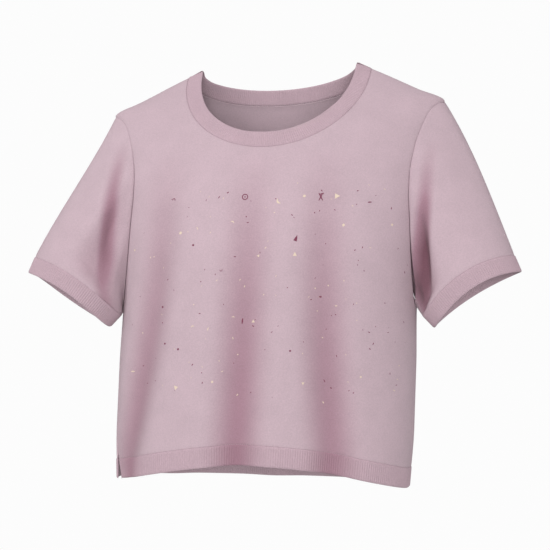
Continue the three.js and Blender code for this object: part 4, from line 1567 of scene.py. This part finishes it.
def scatter_tree():
    inputs = {"Density": "Float", "Seed": "Int", "Chip": "Object", "Material": "Material"}
    tree, bench, given = new_geometry_tree("small_flecks", inputs)
    scattered = bench.node(
        "GeometryNodeDistributePointsOnFaces",
        values={"Mesh": given["Geometry"], "Density": given["Density"], "Seed": given["Seed"]},
    )
    upright = Reading(bench, scattered.socket.node.outputs["Rotation"])
    turn = bench.node(
        "FunctionNodeRandomValue",
        dict(data_type="FLOAT_VECTOR"),
        {0: (0, 0, 0), 1: (0, 0, 2 * math.pi), "Seed": given["Seed"]},
    )
    turn = bench.node("FunctionNodeEulerToRotation", values={"Euler": turn})
    turned = bench.node(
        "FunctionNodeRotateRotation",
        dict(rotation_space="LOCAL"),
        {"Rotation": upright, "Rotate By": turn},
    )
    size = bench.node(
        "FunctionNodeRandomValue",
        dict(data_type="FLOAT_VECTOR"),
        {0: CHIP_SIZES[0], 1: CHIP_SIZES[1], "Seed": given["Seed"]},
    )
    chip = bench.node("GeometryNodeObjectInfo", values={"Object": given["Chip"]}, output=4)
    placed = bench.node(
        "GeometryNodeInstanceOnPoints",
        values={"Points": scattered, "Instance": chip, "Rotation": turned, "Scale": size},
    )
    finish_tree(bench, placed, given["Material"])
    return tree


scatter = scatter_tree()
chip = bar_mesh("chip", *CHIP)
cloth = flecked_cloth()
for colour, (density, seed) in SMALL_FLECKS.items():
    piece = new_piece(f"small_flecks_{colour}", cloth.copy())
    values = {"Density": density, "Seed": seed, "Chip": chip, "Material": fleck_yarns[colour]}
    flecks.append(run_tree(piece, scatter, values))
    print(piece.name, len(piece.data.polygons), "faces")
bpy.data.objects.remove(chip)

# %% [markdown]
# ## Floor
# The floor is a large plane far below the garment. It shows paper white to the camera and a dim glow
# to everything else.

# %% The floor
def make_floor():
    mesh = bpy.data.meshes.new("floor")
    h = FLOOR_HALF
    corners = [(x, y, FLOOR_HEIGHT) for x, y in ((-h, -h), (h, -h), (h, h), (-h, h))]
    mesh.from_pydata(corners, [], [(0, 1, 2, 3)])
    floor = new_piece("floor", mesh)
    material, bench, shader = new_finish("white_paper")
    shader.inputs["Base Color"].default_value = (0, 0, 0, 1)
    shader.inputs["Roughness"].default_value = 1.0
    shader.inputs["Specular IOR Level"].default_value = 0.0
    shader.inputs["Emission Strength"].default_value = 1.0
    seen = bench.node("ShaderNodeLightPath")
    glow = blend(bench, seen, (FLOOR_LIGHT,) * 3, (PAPER_WHITE,) * 3)
    bench.feed(shader.inputs["Emission Color"], glow)
    mesh.materials.append(material)


make_floor()
print("floor at", FLOOR_HEIGHT, "m")

# %% [markdown]
# ## What each piece stands for
# The garment has no joints, so every piece rides on the one body. Each replaces its CAD solid,
# which is hidden, and the size it was cut to is worked out and printed.

# %% Bodies and cut sizes
SLEEVE_CUT_LONGER = 1.25
CUFF_CUT_STEPS = 400


def outline_area(panel):
    x, z = (panel_outline(panel) * MM).T
    return abs(np.dot(x, np.roll(z, -1)) - np.dot(z, np.roll(x, -1))) / 2


def surface_area(piece):
    return sum(polygon.area for polygon in piece.data.polygons)


def cut_size(piece, name):
    """The size that a piece was cut to, width and length in metres, and its area."""
    if name in ("front", "back"):
        width, length = np.ptp(panel_outline(name), axis=0) * MM
        return (width, length), outline_area(name)
    if name == "neckband":
        return (run_length(closed(neck_points)) * MM, NECK_BAND * MM), None
    kind, which = name.split("_")
    if kind == "hem":
        return (2 * float(side_seam_across(which, HEM_AT_SIDE)) * MM, HEM_BAND * MM), None
    if kind == "cuff":
        rim = cuff_point(which, np.linspace(0, 2 * math.pi, CUFF_CUT_STEPS), 0)
        return (run_length(rim) * MM, CUFF_BAND * MM), None
    girth = run_length(closed(armhole_loop(which, SLEEVE_COLUMNS))) * MM
    area = surface_area(piece) / 2
    return (girth, area / girth * SLEEVE_CUT_LONGER), area


CLOTH = {
    "front": (front, "jersey", [back]),
    "back": (back, "jersey", [front]),
    "neckband": (neckband, "rib", [front, back]),
    **{f"sleeve_{side}": (sleeves[side], "jersey", [front, back]) for side in sleeves},
    **{f"cuff_{side}": (cuffs[side], "rib", [sleeves[side]]) for side in cuffs},
    "hem_front": (hems["front"], "rib", [front]),
    "hem_back": (hems["back"], "rib", [back]),
}
for name, (piece, slot, holders) in CLOTH.items():
    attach(piece, "root")
    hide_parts(name)
    flat, area = cut_size(piece, name)
    print(f"{name}: cut {flat[0] / MM:.0f} by {flat[1] / MM:.0f} mm")
for piece in (*stitches, *flecks):
    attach(piece, "root")
